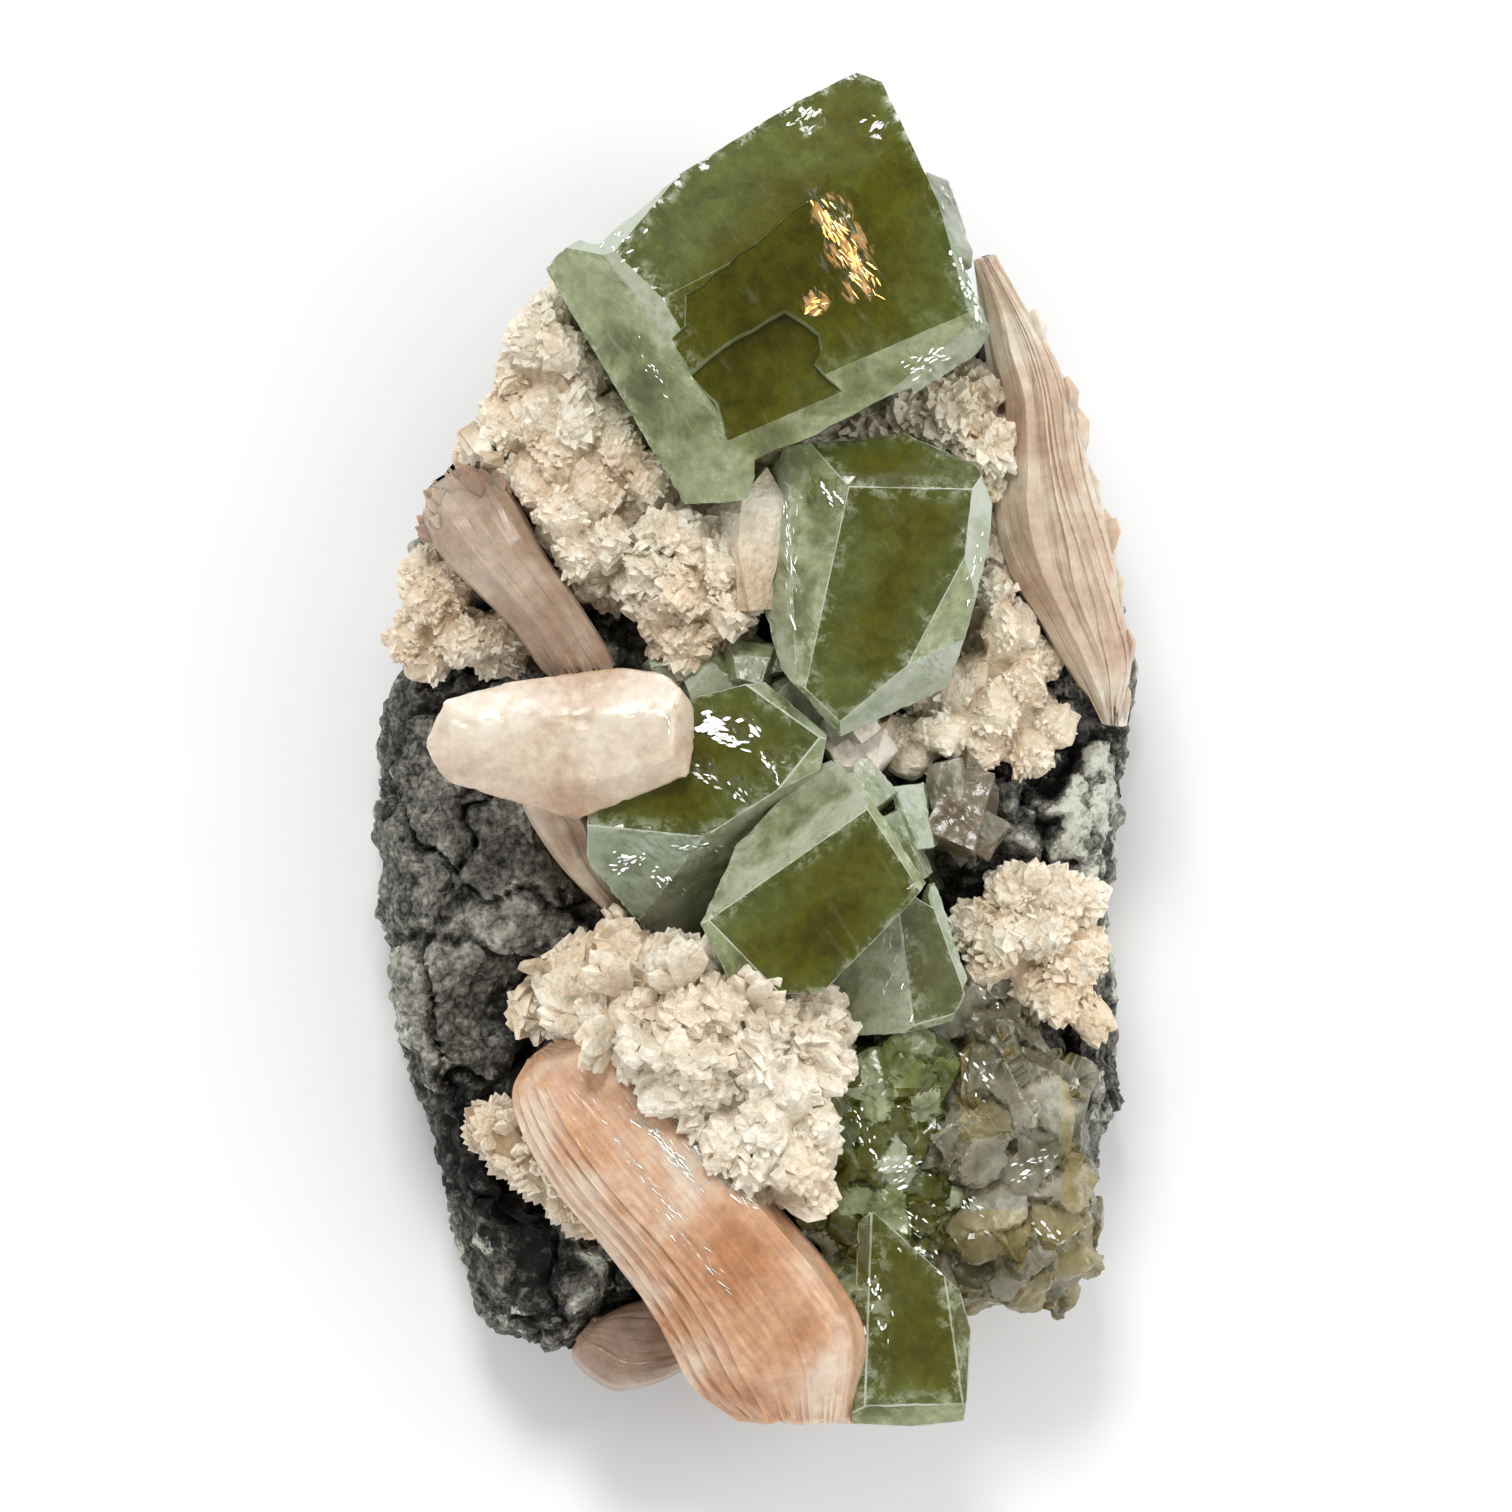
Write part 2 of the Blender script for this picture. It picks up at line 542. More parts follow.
upperCrystal = {
    "root": 13.0,
    "top": {"point": (10.0, 14.0, 34.9), "towards": -90, "dip": 7.0},
    "faces": [
        (7.4, 21.5, 3.9, 5.4, 0.0, 34, "mint"),
        (3.4, 23.3, 2.3, 8.0, 2.2, 58, "veil"),
        (17.3, 21.3, 7.4, 21.5, 0.0, 33, "olive"),
        (16.7, 15.9, 17.3, 21.3, 0.0, 55, "rim"),
        (12.1, 7.2, 16.7, 15.9, 0.0, 40, "mint"),
        (6.7, 2.7, 12.1, 7.2, 0.0, 62, "rim"),
        (3.9, 5.4, 6.7, 2.7, 0.0, 66, "mint"),
        (0.2, 13.1, 2.2, 7.2, 6.0, 95, "veil"),
        (2.2, 7.2, 6.9, 1.9, 6.0, 95, "mint"),
        (6.9, 1.9, 15.4, 5.4, 6.0, 94, "mint"),
        (15.4, 5.4, 18.4, 16.6, 6.0, 94, "mint"),
        (18.4, 16.6, 18.7, 20.0, 6.0, 94, "mint"),
        (18.7, 20.0, 17.4, 23.0, 6.0, 94, "mint"),
        (17.4, 23.0, 11.8, 25.6, 6.0, 94, "olive"),
        (11.8, 25.6, 2.2, 24.6, 6.0, 94, "olive"),
        (2.2, 24.6, 0.9, 22.6, 6.0, 94, "veil"),
        (0.9, 22.6, 0.2, 13.1, 6.0, 94, "veil"),
    ],
    "shades": [(12.0, 22.6, 6.0, -0.12), (11.0, 15.0, 6.0, 0.10), (8.0, 8.0, 5.0, 0.06), (2.0, 20.0, 5.0, 0.25),
               (2.4, 12.0, 4.0, -0.05), (17.4, 20.0, 4.0, 0.25), (15.0, 9.0, 4.0, 0.12), (7.6, 14.0, 3.0, -0.10)],
    "glints": [(3.1, 20.4, 1.4, 0.9), (4.7, 22.2, 1.2, 0.9), (6.3, 20.6, 1.2, 0.9), (2.9, 14.0, 1.4, 0.7),
               (14.7, 23.0, 1.5, 0.7), (17.2, 18.6, 1.2, 0.8), (13.9, 7.4, 1.6, 0.8), (9.6, 3.6, 1.2, 0.6)],
}
leftPoint = {
    "root": 13.0,
    "top": {"point": (-4.0, -1.0, 32.0), "towards": 215, "dip": 3.0},
    "faces": [
        (-1.6, -6.9, 4.9, 1.2, 0.0, 24, "mint"),
        (-13.0, -5.6, -1.4, -6.8, 0.0, 38, "silver"),
        (-9.5, -12.8, -1.3, -7.6, 4.6, 62, "veil"),
        (4.9, 1.7, 0.4, 4.9, 0.0, 50, "veil"),
        (-13.2, -8.3, -9.8, -12.9, 6.0, 96, "mint"),
        (-9.8, -12.9, -7.8, -15.2, 6.0, 96, "mint"),
        (-7.8, -15.2, -3.8, -15.8, 6.0, 95, "veil"),
        (-3.8, -15.8, 4.7, -1.2, 6.0, 95, "mint"),
        (4.7, -1.2, 5.2, 1.6, 6.0, 95, "mint"),
        (5.2, 1.6, 0.6, 5.6, 6.0, 95, "veil"),
        (0.6, 5.6, -5.0, 4.2, 6.0, 95, "veil"),
        (-5.0, 4.2, -12.8, -3.0, 6.0, 95, "olive"),
        (-12.8, -3.0, -13.2, -8.3, 6.0, 95, "olive"),
    ],
    "shades": [(-6.0, -3.0, 5.0, -0.20), (0.0, 1.0, 4.0, -0.12), (3.4, -2.0, 3.0, 0.20), (-10.0, -9.0, 4.0, 0.10),
               (-5.6, -14.0, 4.0, 0.25), (-8.0, -7.0, 3.0, 0.15)],
    "glints": [(-3.3, 2.6, 1.7, 1.0), (-0.9, 2.2, 1.6, 1.0), (-4.1, -1.2, 1.5, 0.9), (-1.3, -2.8, 1.5, 0.9),
               (1.1, -0.4, 1.6, 0.9), (-9.3, -8.2, 2.6, 1.0), (-5.0, -7.4, 2.0, 1.0), (-11.0, -10.2, 1.8, 1.0)],
}
middleBlock = {
    "root": 13.0,
    "top": {"point": (5.0, -11.0, 34.8), "towards": 235, "dip": 6.0},
    "faces": [
        (8.9, -4.2, -3.4, -12.8, 0.0, 42, "veil"),
        (12.9, -10.4, 8.9, -4.2, 0.0, 58, "mint"),
        (6.2, -18.6, 13.2, -11.6, 0.0, 16, "mint"),
        (-3.3, -13.6, 0.4, -17.4, 0.0, 17, "mint"),
        (-3.9, -13.4, -1.9, -17.4, 6.0, 95, "olive"),
        (-1.9, -17.4, 0.5, -18.5, 6.0, 95, "mint"),
        (0.5, -18.5, 5.0, -18.5, 6.0, 95, "olive"),
        (5.0, -18.5, 11.8, -11.6, 6.0, 95, "mint"),
        (11.6, -11.8, 13.0, -10.2, 6.0, 95, "mint"),
        (13.0, -10.0, 7.6, -1.6, 6.0, 95, "mint"),
        (7.6, -1.6, 6.0, -0.4, 6.0, 95, "mint"),
        (6.0, -0.4, 4.4, -1.0, 6.0, 95, "veil"),
        (4.4, -1.0, -1.4, -7.2, 6.0, 95, "veil"),
        (-1.4, -7.2, -3.9, -13.4, 6.0, 95, "veil"),
    ],
    "shades": [(5.0, -11.0, 5.0, -0.10), (9.0, -9.0, 4.0, 0.06), (7.6, -3.6, 4.0, 0.10), (0.6, -8.6, 4.0, -0.10),
               (3.0, -17.6, 4.0, 0.10), (-3.0, -13.6, 2.4, 0.30), (11.0, -14.0, 3.0, 0.15)],
}
lowerBlock = {
    "root": 13.0,
    "top": {"point": (14.0, -16.0, 29.2), "towards": -75, "dip": 17.0},
    "faces": [
        (11.3, -11.6, 12.6, -21.6, 0.0, 24, "veil"),
        (8.0, -12.0, 6.4, -18.0, 1.2, 50, "veil"),
        (12.6, -21.6, 15.5, -20.8, 0.0, 55, "mint"),
        (5.7, -19.0, 6.2, -21.6, 4.0, 96, "veil"),
        (6.2, -21.6, 8.2, -22.3, 4.0, 96, "veil"),
        (8.2, -22.3, 12.8, -21.8, 4.0, 96, "veil"),
        (12.8, -21.8, 15.6, -21.0, 4.0, 95, "mint"),
        (15.6, -21.0, 16.4, -19.0, 4.0, 95, "mint"),
        (16.4, -19.0, 14.0, -12.4, 4.0, 95, "mint"),
        (14.0, -12.4, 11.0, -10.6, 4.0, 95, "mint"),
        (11.0, -10.6, 8.6, -13.0, 4.0, 95, "veil"),
        (8.6, -13.0, 5.7, -19.0, 4.0, 95, "veil"),
    ],
}
column = {
    "root": 14.0,
    "top": {"point": (13.0, -45.0, 25.4), "towards": -80, "dip": 8.0},
    "faces": [
        (9.0, -44.0, 8.7, -53.0, 0.0, 22, "olive"),
        (16.4, -50.4, 15.4, -43.4, 0.0, 40, "olive"),
        (9.0, -52.2, 16.6, -52.0, 0.0, 45, "mint"),
        (7.8, -53.4, 12.6, -53.7, 4.0, 95, "mint"),
        (12.6, -53.7, 16.6, -53.2, 4.0, 95, "mint"),
        (16.6, -53.2, 17.1, -46.1, 4.0, 94, "olive"),
        (17.1, -46.1, 16.2, -43.0, 4.0, 94, "mint"),
        (16.2, -43.0, 13.6, -40.6, 4.0, 94, "mint"),
        (13.6, -40.6, 9.4, -36.8, 4.0, 94, "olive"),
        (9.4, -36.8, 8.4, -37.4, 4.0, 94, "olive"),
        (8.4, -37.4, 7.8, -53.4, 4.0, 94, "olive"),
    ],
}


def crystalObject(name, form, materials):
    chance = random.Random(len(form["faces"]))
    bm = cutCrystal(form)
    frostEdges(bm, form.get("rim", wear["rim"]))
    if "ledges" in form:
        # the cuts stay closed only between triangles
        bmesh.ops.triangulate(bm, faces=bm.faces)
    obj = looseObject(name, bm, materials)
    pz = form["top"]["point"][2]
    cutters = [ledgeCutter(chance, outline, pz - depth, pz + 4, zone) for outline, depth, zone in form.get("ledges", [])]
    cutters += [ledgeCutter(chance, outline, form["root"] - 2, pz + 4, "mint", 0) for outline in form.get("notches", [])]
    if cutters:
        carve(obj, cutters)
    bm = bmesh.new()
    bm.from_mesh(obj.data)
    gridded(bm, wear["grid"])
    weather(bm, facePlanes(form), form.get("glints", []), form.get("shades", []))
    for face in bm.faces:
        spot = (face.calc_center_median() - shift) / mm
        if face.normal.z > 0.6 and any(math.hypot(spot.x - x, spot.y - y) < r for x, y, r in form.get("gold", [])):
            face.material_index = zoneNames.index("gold")
    bm.to_mesh(obj.data)
    bm.free()
    shadeBy(obj, 18)
    return obj


def keepUsed(obj):
    # drops the materials that no face has
    used = sorted({polygon.material_index for polygon in obj.data.polygons})
    kept = [obj.data.materials[i] for i in used]
    indices = [used.index(polygon.material_index) for polygon in obj.data.polygons]
    obj.data.materials.clear()
    for material in kept:
        obj.data.materials.append(material)
    obj.data.polygons.foreach_set("material_index", indices)
    return obj


def joined(name, objs):
    # several finished meshes as one object
    bm = bmesh.new()
    for obj in objs:
        bm.from_mesh(obj.data)
    materials = [material for material in objs[0].data.materials]
    for obj in objs:
        bpy.data.objects.remove(obj)
    return looseObject(name, bm, materials)


def chunk(chance, centre, size, cuts, zone, others, turn=None, tilt=0.3):
    # a broken lump: a box cut by chance planes, and the planes of its faces
    bm = bmesh.new()
    bmesh.ops.create_cube(bm, size=1)
    bmesh.ops.scale(bm, vec=[side * mm for side in size], verts=bm.verts)
    for face in bm.faces:
        face.material_index = zoneNames.index(zone)
    planes = []
    for i, (axis, way) in enumerate((axis, way) for axis in range(3) for way in (-1, 1)):
        normal = Vector([way if k == axis else 0 for k in range(3)])
        planes.append((normal * size[axis] * mm / 2, normal, zone))
    for _ in range(cuts):
        away = Vector([chance.uniform(-1, 1) for _ in range(3)]).normalized()
        reach = sum(abs(away[i]) * size[i] for i in range(3)) / 2 * chance.uniform(0.58, 0.80)
        finish = chance.choice(others + [zone])
        sliceOff(bm, away * reach * mm, away, finish)
        planes.append((away * reach * mm, away, finish))
    spin = chance.uniform(0, math.tau) if turn is None else math.radians(turn)
    place = Matrix.Rotation(spin, 4, "Z") @ Matrix.Rotation(chance.uniform(-tilt, tilt), 4, "X")
    place = Matrix.Translation(at(*centre)) @ place @ Matrix.Rotation(chance.uniform(-tilt, tilt), 4, "Y")
    bmesh.ops.transform(bm, matrix=place, verts=bm.verts)
    bmesh.ops.recalc_face_normals(bm, faces=bm.faces)
    planes = [(place @ point, (place.to_3x3() @ normal).normalized(), finish) for point, normal, finish in planes]
    return bm, planes


def lumpObject(chance, row, zone, others, materials):
    # one broken lump from a row of x, y, z, size, then turn where it matters
    x, y, z, a, b, c, *turn = row
    bm, planes = chunk(chance, (x, y, z), (a, b, c), 6, zone, others, *turn)
    frostEdges(bm, wear["rim"] * 0.7, zone if zone in calciteNames else "rim")
    gridded(bm, wear["grid"])
    weather(bm, planes, [(x, y, max(a, b) * 0.35, chance.uniform(0.0, 0.8))])
    lump = looseObject("lump", bm, materials)
    shadeBy(lump, 18)
    return lump


def shatteredMass(parts, look, materials):
    # several overlapping forms as one mass, broken into tilted faces with cracks between them
    bm = bmesh.new()
    for part in parts:
        mesh = bpy.data.meshes.new("part")
        part.to_mesh(mesh)
        part.free()
        bm.from_mesh(mesh)
        bpy.data.meshes.remove(mesh)
    obj = evened(looseObject("mass", bm), look["voxel"])
    bm = bmesh.new()
    bm.from_mesh(obj.data)
    bmesh.ops.triangulate(bm, faces=bm.faces)
    bm.normal_update()
    layers = {name: bm.verts.layers.float.new(name) for name in ("inner", "edge", "glint", "shade")}
    moves = []
    for vert in bm.verts:
        spot = (vert.co - shift) / mm
        sway = Vector((noise.noise(spot * 0.6), noise.noise(spot * 0.6 + Vector((9, 9, 9))), noise.noise(spot * 0.5)))
        places, corners = noise.voronoi((spot + sway * 0.8) / look["size"])
        corner = corners[0]
        lean = noise.noise_vector(corner * 4.3 + Vector((2, 5, 1)))
        rise = look["lean"] * lean.dot(spot - corner * look["size"]) + look["step"] * noise.noise(corner * 3.7)
        gap = places[1] - places[0]
        rise -= look["crack"] * max(0.0, 1 - gap / 0.08)
        rise += 0.12 * noise.noise(spot * 1.7)
        vert[layers["inner"]] = 0.35
        vert[layers["edge"]] = min(1.0, 0.15 + gap * 1.6)
        vert[layers["shade"]] = look["tones"] * noise.noise(corner * 5.9 + Vector((1, 1, 8)))
        moves.append(vert.normal * max(-1.6, min(1.4, rise)) * mm)
    for face in bm.faces:
        spot = (face.calc_center_median() - shift) / mm
        corner = noise.voronoi(spot / look["size"])[1][0]
        pick = noise.noise(corner * 6.1 + Vector((3, 8, 2))) * 1.6 + 0.5
        choices = look["zones"](spot)
        face.material_index = zoneNames.index(choices[max(0, min(len(choices) - 1, int(pick * len(choices))))])
    for vert, move in zip(bm.verts, moves):
        vert.co += move
    bm.to_mesh(obj.data)
    bm.free()
    for material in materials:
        obj.data.materials.append(material)
    shadeBy(obj, 24)
    return obj


def columnZones(spot):
    if spot.y > -26.5:
        return ["mint", "veil", "mint", "olive"]
    return ["olive", "olive", "mint", "olive", "veil"]


def cornerZones(spot):
    if spot.y < -36.5 or spot.x > 24.5:
        return ["honey", "honey", "grey"]
    return ["grey", "grey", "honey", "grey"]


columnMass = {"voxel": 0.34, "size": 3.0, "lean": 0.45, "step": 0.9, "crack": 0.3, "tones": 0.5, "zones": columnZones}
cornerMass = {"voxel": 0.36, "size": 4.0, "lean": 0.45, "step": 1.3, "crack": 0.4, "tones": 0.6, "zones": cornerZones}

# broken lumps: x, y, z of the middle, width, length, height, and a turn in degrees where it matters
columnLumps = [
    (8.6, -28.0, 21.6, 8.0, 9.4, 8.6), (12.8, -24.6, 21.4, 6.4, 5.6, 8.8, -30), (6.8, -32.0, 20.8, 5.6, 7.0, 8.6),
    (11.8, -30.6, 20.8, 6.6, 7.0, 8.8, 15), (8.8, -35.4, 20.2, 6.4, 6.4, 8.6), (13.2, -35.8, 19.6, 6.0, 7.4, 8.4),
    (11.6, -39.0, 20.0, 5.4, 6.0, 8.8), (14.6, -29.4, 19.6, 4.2, 7.0, 8.0, 10),
    (11.6, -34.0, 23.4, 3.4, 3.0, 2.4), (11.0, -41.4, 24.0, 3.4, 3.0, 2.6), (8.2, -43.6, 23.6, 2.8, 4.4, 3.2),
    (9.0, -47.6, 22.6, 2.6, 5.4, 3.6, 8), (13.0, -26.2, 25.2, 4.6, 3.4, 2.4, -20), (6.8, -38.0, 20.6, 5.0, 6.4, 7.6),
    (7.2, -41.6, 20.4, 4.0, 5.0, 7.4),
]
clusterLumps = [
    (-0.6, 7.0, 25.6, 3.6, 3.8, 5.0), (3.0, 4.2, 25.2, 3.8, 4.6, 5.0, 35), (-3.8, 6.4, 24.6, 4.4, 3.8, 5.2),
    (-7.2, 6.8, 23.6, 3.2, 2.4, 4.4), (1.6, 7.6, 24.4, 2.6, 3.0, 4.4), (-0.4, 16.6, 24.4, 2.0, 9.0, 8.0, 4), (11.4, -7.4, 27.0, 3.2, 6.0, 5.0, 25),
    (12.8, -5.0, 25.6, 2.6, 5.4, 5.0, 10), (9.6, -2.8, 27.2, 2.6, 4.4, 5.2, 40),
]
thinBlade = (14.9, -14.4, 27.0, 1.1, 9.2, 3.4, 18)


flakeTilt = Vector((-0.038, 0.295, 0.955)).normalized()
flakes = {
    # patches of small cleavage flakes: x, y, half length, half width, direction in degrees, number, length, width, finish
    "top_crystal": [
        (6.2, 42.0, 2.6, 0.9, -62, 40, (0.6, 2.2), (0.07, 0.22), "goldFlake"),
        (8.0, 38.6, 2.8, 1.0, -60, 36, (0.5, 1.8), (0.06, 0.18), "goldFlake"),
        (4.7, 36.1, 1.1, 0.6, 20, 12, (0.3, 1.0), (0.08, 0.26), "goldFlake"),
        (17.1, 37.0, 3.4, 0.7, -72, 34, (0.3, 1.0), (0.14, 0.34), "flake"),
        (13.6, 31.8, 2.4, 1.0, 28, 22, (0.3, 0.9), (0.14, 0.30), "flake"),
        (4.2, 51.0, 1.6, 0.9, 34, 16, (0.3, 0.9), (0.14, 0.30), "flake"),
        (9.6, 50.2, 0.9, 0.5, 20, 8, (0.3, 0.8), (0.12, 0.24), "flake"),
        (-11.0, 40.4, 1.8, 1.2, 40, 12, (0.2, 0.7), (0.10, 0.24), "flake"),
        (-8.4, 31.0, 3.0, 0.4, -60, 10, (0.2, 0.7), (0.06, 0.14), "flake"),
    ],
    "upper_crystal": [
        (2.6, 17.4, 5.0, 0.5, -86, 26, (0.4, 1.6), (0.06, 0.16), "flake"),
        (6.0, 20.8, 1.4, 1.0, -60, 12, (0.3, 0.9), (0.14, 0.36), "flake"),
        (17.2, 14.0, 4.0, 0.4, -104, 12, (0.3, 1.0), (0.06, 0.16), "flake"),
    ],
    "middle_cluster": [
        (-3.4, 2.6, 1.2, 0.7, 5, 26, (0.4, 1.3), (0.24, 0.60), "flake"),
        (-2.2, 1.4, 1.5, 0.5, -20, 18, (0.3, 1.0), (0.16, 0.40), "flake"),
        (-0.2, 1.9, 0.9, 0.5, -50, 10, (0.3, 0.8), (0.14, 0.34), "flake"),
        (-4.2, -1.6, 1.0, 0.5, -30, 9, (0.3, 0.9), (0.12, 0.28), "flake"),
        (0.9, -0.6, 1.1, 0.5, -60, 10, (0.3, 1.0), (0.10, 0.26), "flake"),
        (-1.5, -3.0, 1.2, 0.4, -50, 8, (0.3, 0.9), (0.10, 0.22), "flake"),
        (-10.0, -8.4, 1.8, 0.8, 14, 26, (0.2, 0.8), (0.10, 0.30), "flake"),
        (-7.6, -9.8, 1.8, 0.7, -40, 18, (0.2, 0.8), (0.10, 0.24), "flake"),
        (-4.4, -7.4, 2.2, 0.3, 2, 12, (0.3, 0.9), (0.08, 0.18), "flake"),
        (11.0, -17.0, 4.0, 1.6, 80, 14, (0.4, 1.4), (0.08, 0.20), "flake"),
    ],
    "lower_column": [
        (11.6, -33.4, 1.6, 1.6, 20, 18, (0.3, 1.1), (0.16, 0.40), "flake"),
        (8.4, -30.0, 3.0, 1.2, -70, 16, (0.2, 0.8), (0.10, 0.26), "flake"),
        (12.8, -38.6, 3.0, 1.4, -50, 16, (0.2, 0.8), (0.10, 0.26), "flake"),
        (9.6, -43.6, 4.0, 0.8, -84, 16, (0.3, 0.9), (0.10, 0.26), "flake"),
    ],
    "orange_sheaf": [
        (-4.4, -31.6, 4.2, 0.6, -50, 80, (0.5, 2.2), (0.05, 0.16), "flake"),
        (-6.8, -31.8, 4.4, 0.5, -50, 54, (0.4, 2.0), (0.04, 0.13), "flake"),
        (-1.6, -34.0, 3.4, 0.5, -52, 44, (0.4, 1.8), (0.04, 0.13), "flake"),
        (-9.2, -33.2, 5.0, 0.4, -50, 26, (0.4, 1.6), (0.03, 0.10), "flake"),
        (-4.4, -40.0, 5.0, 0.5, -50, 20, (0.4, 1.6), (0.03, 0.10), "flake"),
    ],
    "cream_tablet": [
        (-7.0, 2.6, 1.6, 0.4, -84, 6, (0.3, 0.8), (0.08, 0.16), "flake"),
    ],
    "corner_calcite": [
        (17.6, -26.0, 2.4, 1.2, -60, 16, (0.3, 1.1), (0.10, 0.30), "flake"),
        (21.8, -33.0, 2.4, 1.2, 20, 16, (0.3, 1.1), (0.10, 0.30), "flake"),
        (17.0, -36.0, 2.4, 1.0, -40, 14, (0.3, 1.0), (0.10, 0.26), "flake"),
        (23.6, -38.4, 2.0, 0.8, -50, 12, (0.3, 1.0), (0.10, 0.26), "flake"),
        (18.6, -19.0, 2.4, 1.2, -50, 14, (0.2, 0.9), (0.10, 0.24), "flake"),
    ],
}


def addFlakes(obj, name):
    # thin lozenges that lie in the surface, nearly level with one another as along a cleavage
    chance = random.Random(name)
    slots = [material.name.split()[-1] for material in obj.data.materials]
    whole = bmesh.new()
    whole.from_mesh(obj.data)
    tree = BVHTree.FromBMesh(whole)
    bm = bmesh.new()
    for x, y, halfLength, halfWidth, degrees, count, lengths, widths, finish in flakes[name]:
        if finish not in slots:
            slots.append(finish)
            obj.data.materials.append(crystalMaterials[zoneNames.index(finish)])
        for _ in range(count):
            along, across = chance.gauss(0, 0.5) * halfLength, chance.gauss(0, 0.5) * halfWidth
            way = math.radians(degrees)
            px = x + along * math.cos(way) - across * math.sin(way)
            py = y + along * math.sin(way) + across * math.cos(way)
            place, _, _, _ = tree.ray_cast(at(px, py, 70), Vector((0, 0, -1)))
            if place is None:
                continue
            length, width = chance.uniform(*lengths) * mm / 2, chance.uniform(*widths) * mm / 2
            skew = chance.uniform(-0.5, 0.5)
            ends = [(length, skew * width), (length * chance.uniform(0.1, 0.5), width),
                    (-length * chance.uniform(0.3, 0.8), width * chance.uniform(0.2, 1)), (-length, -skew * width),
                    (-length * chance.uniform(0.2, 0.7), -width),
                    (length * chance.uniform(0.3, 0.8), -width * chance.uniform(0.2, 1))]
            face = bmesh.ops.contextual_create(bm, geom=[bm.verts.new((a, b, 0)) for a, b in ends])["faces"]
            raised = bmesh.ops.extrude_face_region(bm, geom=face)["geom"]
            lifted = [part for part in raised if isinstance(part, bmesh.types.BMVert)]
            bmesh.ops.translate(bm, vec=(0, 0, 0.05 * mm), verts=lifted)
            made = list({vert for part in face for vert in part.verts} | set(lifted))
            normal = (flakeTilt + Vector([chance.gauss(0, 0.035) for _ in range(3)])).normalized()
            turn = normal.to_track_quat("Z", "X").to_matrix().to_4x4()
            heading = turn.to_3x3().inverted() @ Vector((math.cos(way), math.sin(way), 0))
            spin = Matrix.Rotation(math.atan2(heading.y, heading.x) + chance.gauss(0, 0.2), 4, "Z")
            place = place + Vector((0, 0, width * 0.30))
            bmesh.ops.transform(bm, matrix=Matrix.Translation(place) @ turn @ spin, verts=made)
            for face in {face for vert in made for face in vert.link_faces}:
                face.material_index = slots.index(finish)
    bmesh.ops.recalc_face_normals(bm, faces=bm.faces)
    small = bpy.data.meshes.new("flakes")
    bm.to_mesh(small)
    bm.free()
    whole.from_mesh(small)
    whole.to_mesh(obj.data)
    whole.free()
    bpy.data.meshes.remove(small)
    return obj


def makeCrystals(materials):
    made = addFlakes(keepUsed(crystalObject("top_crystal", topCrystal, materials)), "top_crystal")
    declare(made, "apophyllite", "apophyllite_top_crystal")
    made = addFlakes(keepUsed(crystalObject("upper_crystal", upperCrystal, materials)), "upper_crystal")
    declare(made, "apophyllite", "apophyllite_upper_crystal")
    chance = random.Random(5)
    members = [crystalObject("member", form, materials) for form in (leftPoint, middleBlock, lowerBlock)]
    members += [lumpObject(chance, row, "veil", ["mint", "rim"], materials) for row in clusterLumps]
    members.append(lumpObject(chance, thinBlade, "rim", ["veil"], materials))
    made = addFlakes(keepUsed(joined("middle_cluster", members)), "middle_cluster")
    declare(made, "apophyllite", "apophyllite_middle_cluster")
    lumps = []
    for x, y, z, a, b, c, *turn in columnLumps:
        lumps.append(chunk(chance, (x, y, z), (a, b, c), 6, "olive", ["olive"], *turn)[0])
    members = [shatteredMass(lumps, columnMass, materials), crystalObject("member", column, materials)]
    made = addFlakes(keepUsed(joined("lower_column", members)), "lower_column")
    declare(made, "apophyllite", "apophyllite_lower_column")
    bm = nodeCopy("apophyllite_clear_crystal")
    frostEdges(bm, wear["rim"])
    gridded(bm, wear["grid"])
    for face in bm.faces:
        face.material_index = zoneNames.index("clear")
    weather(bm, [], [(15.0, 44.6, 1.6, 0.8), (16.4, 41.4, 1.4, 0.5)])
    made = keepUsed(looseObject("clear_crystal", bm, materials))
    shadeBy(made, 18)
    declare(made, "clear_apophyllite", "apophyllite_clear_crystal")


# druse: fans of small pointed blades, sunk in the lumps of each crust

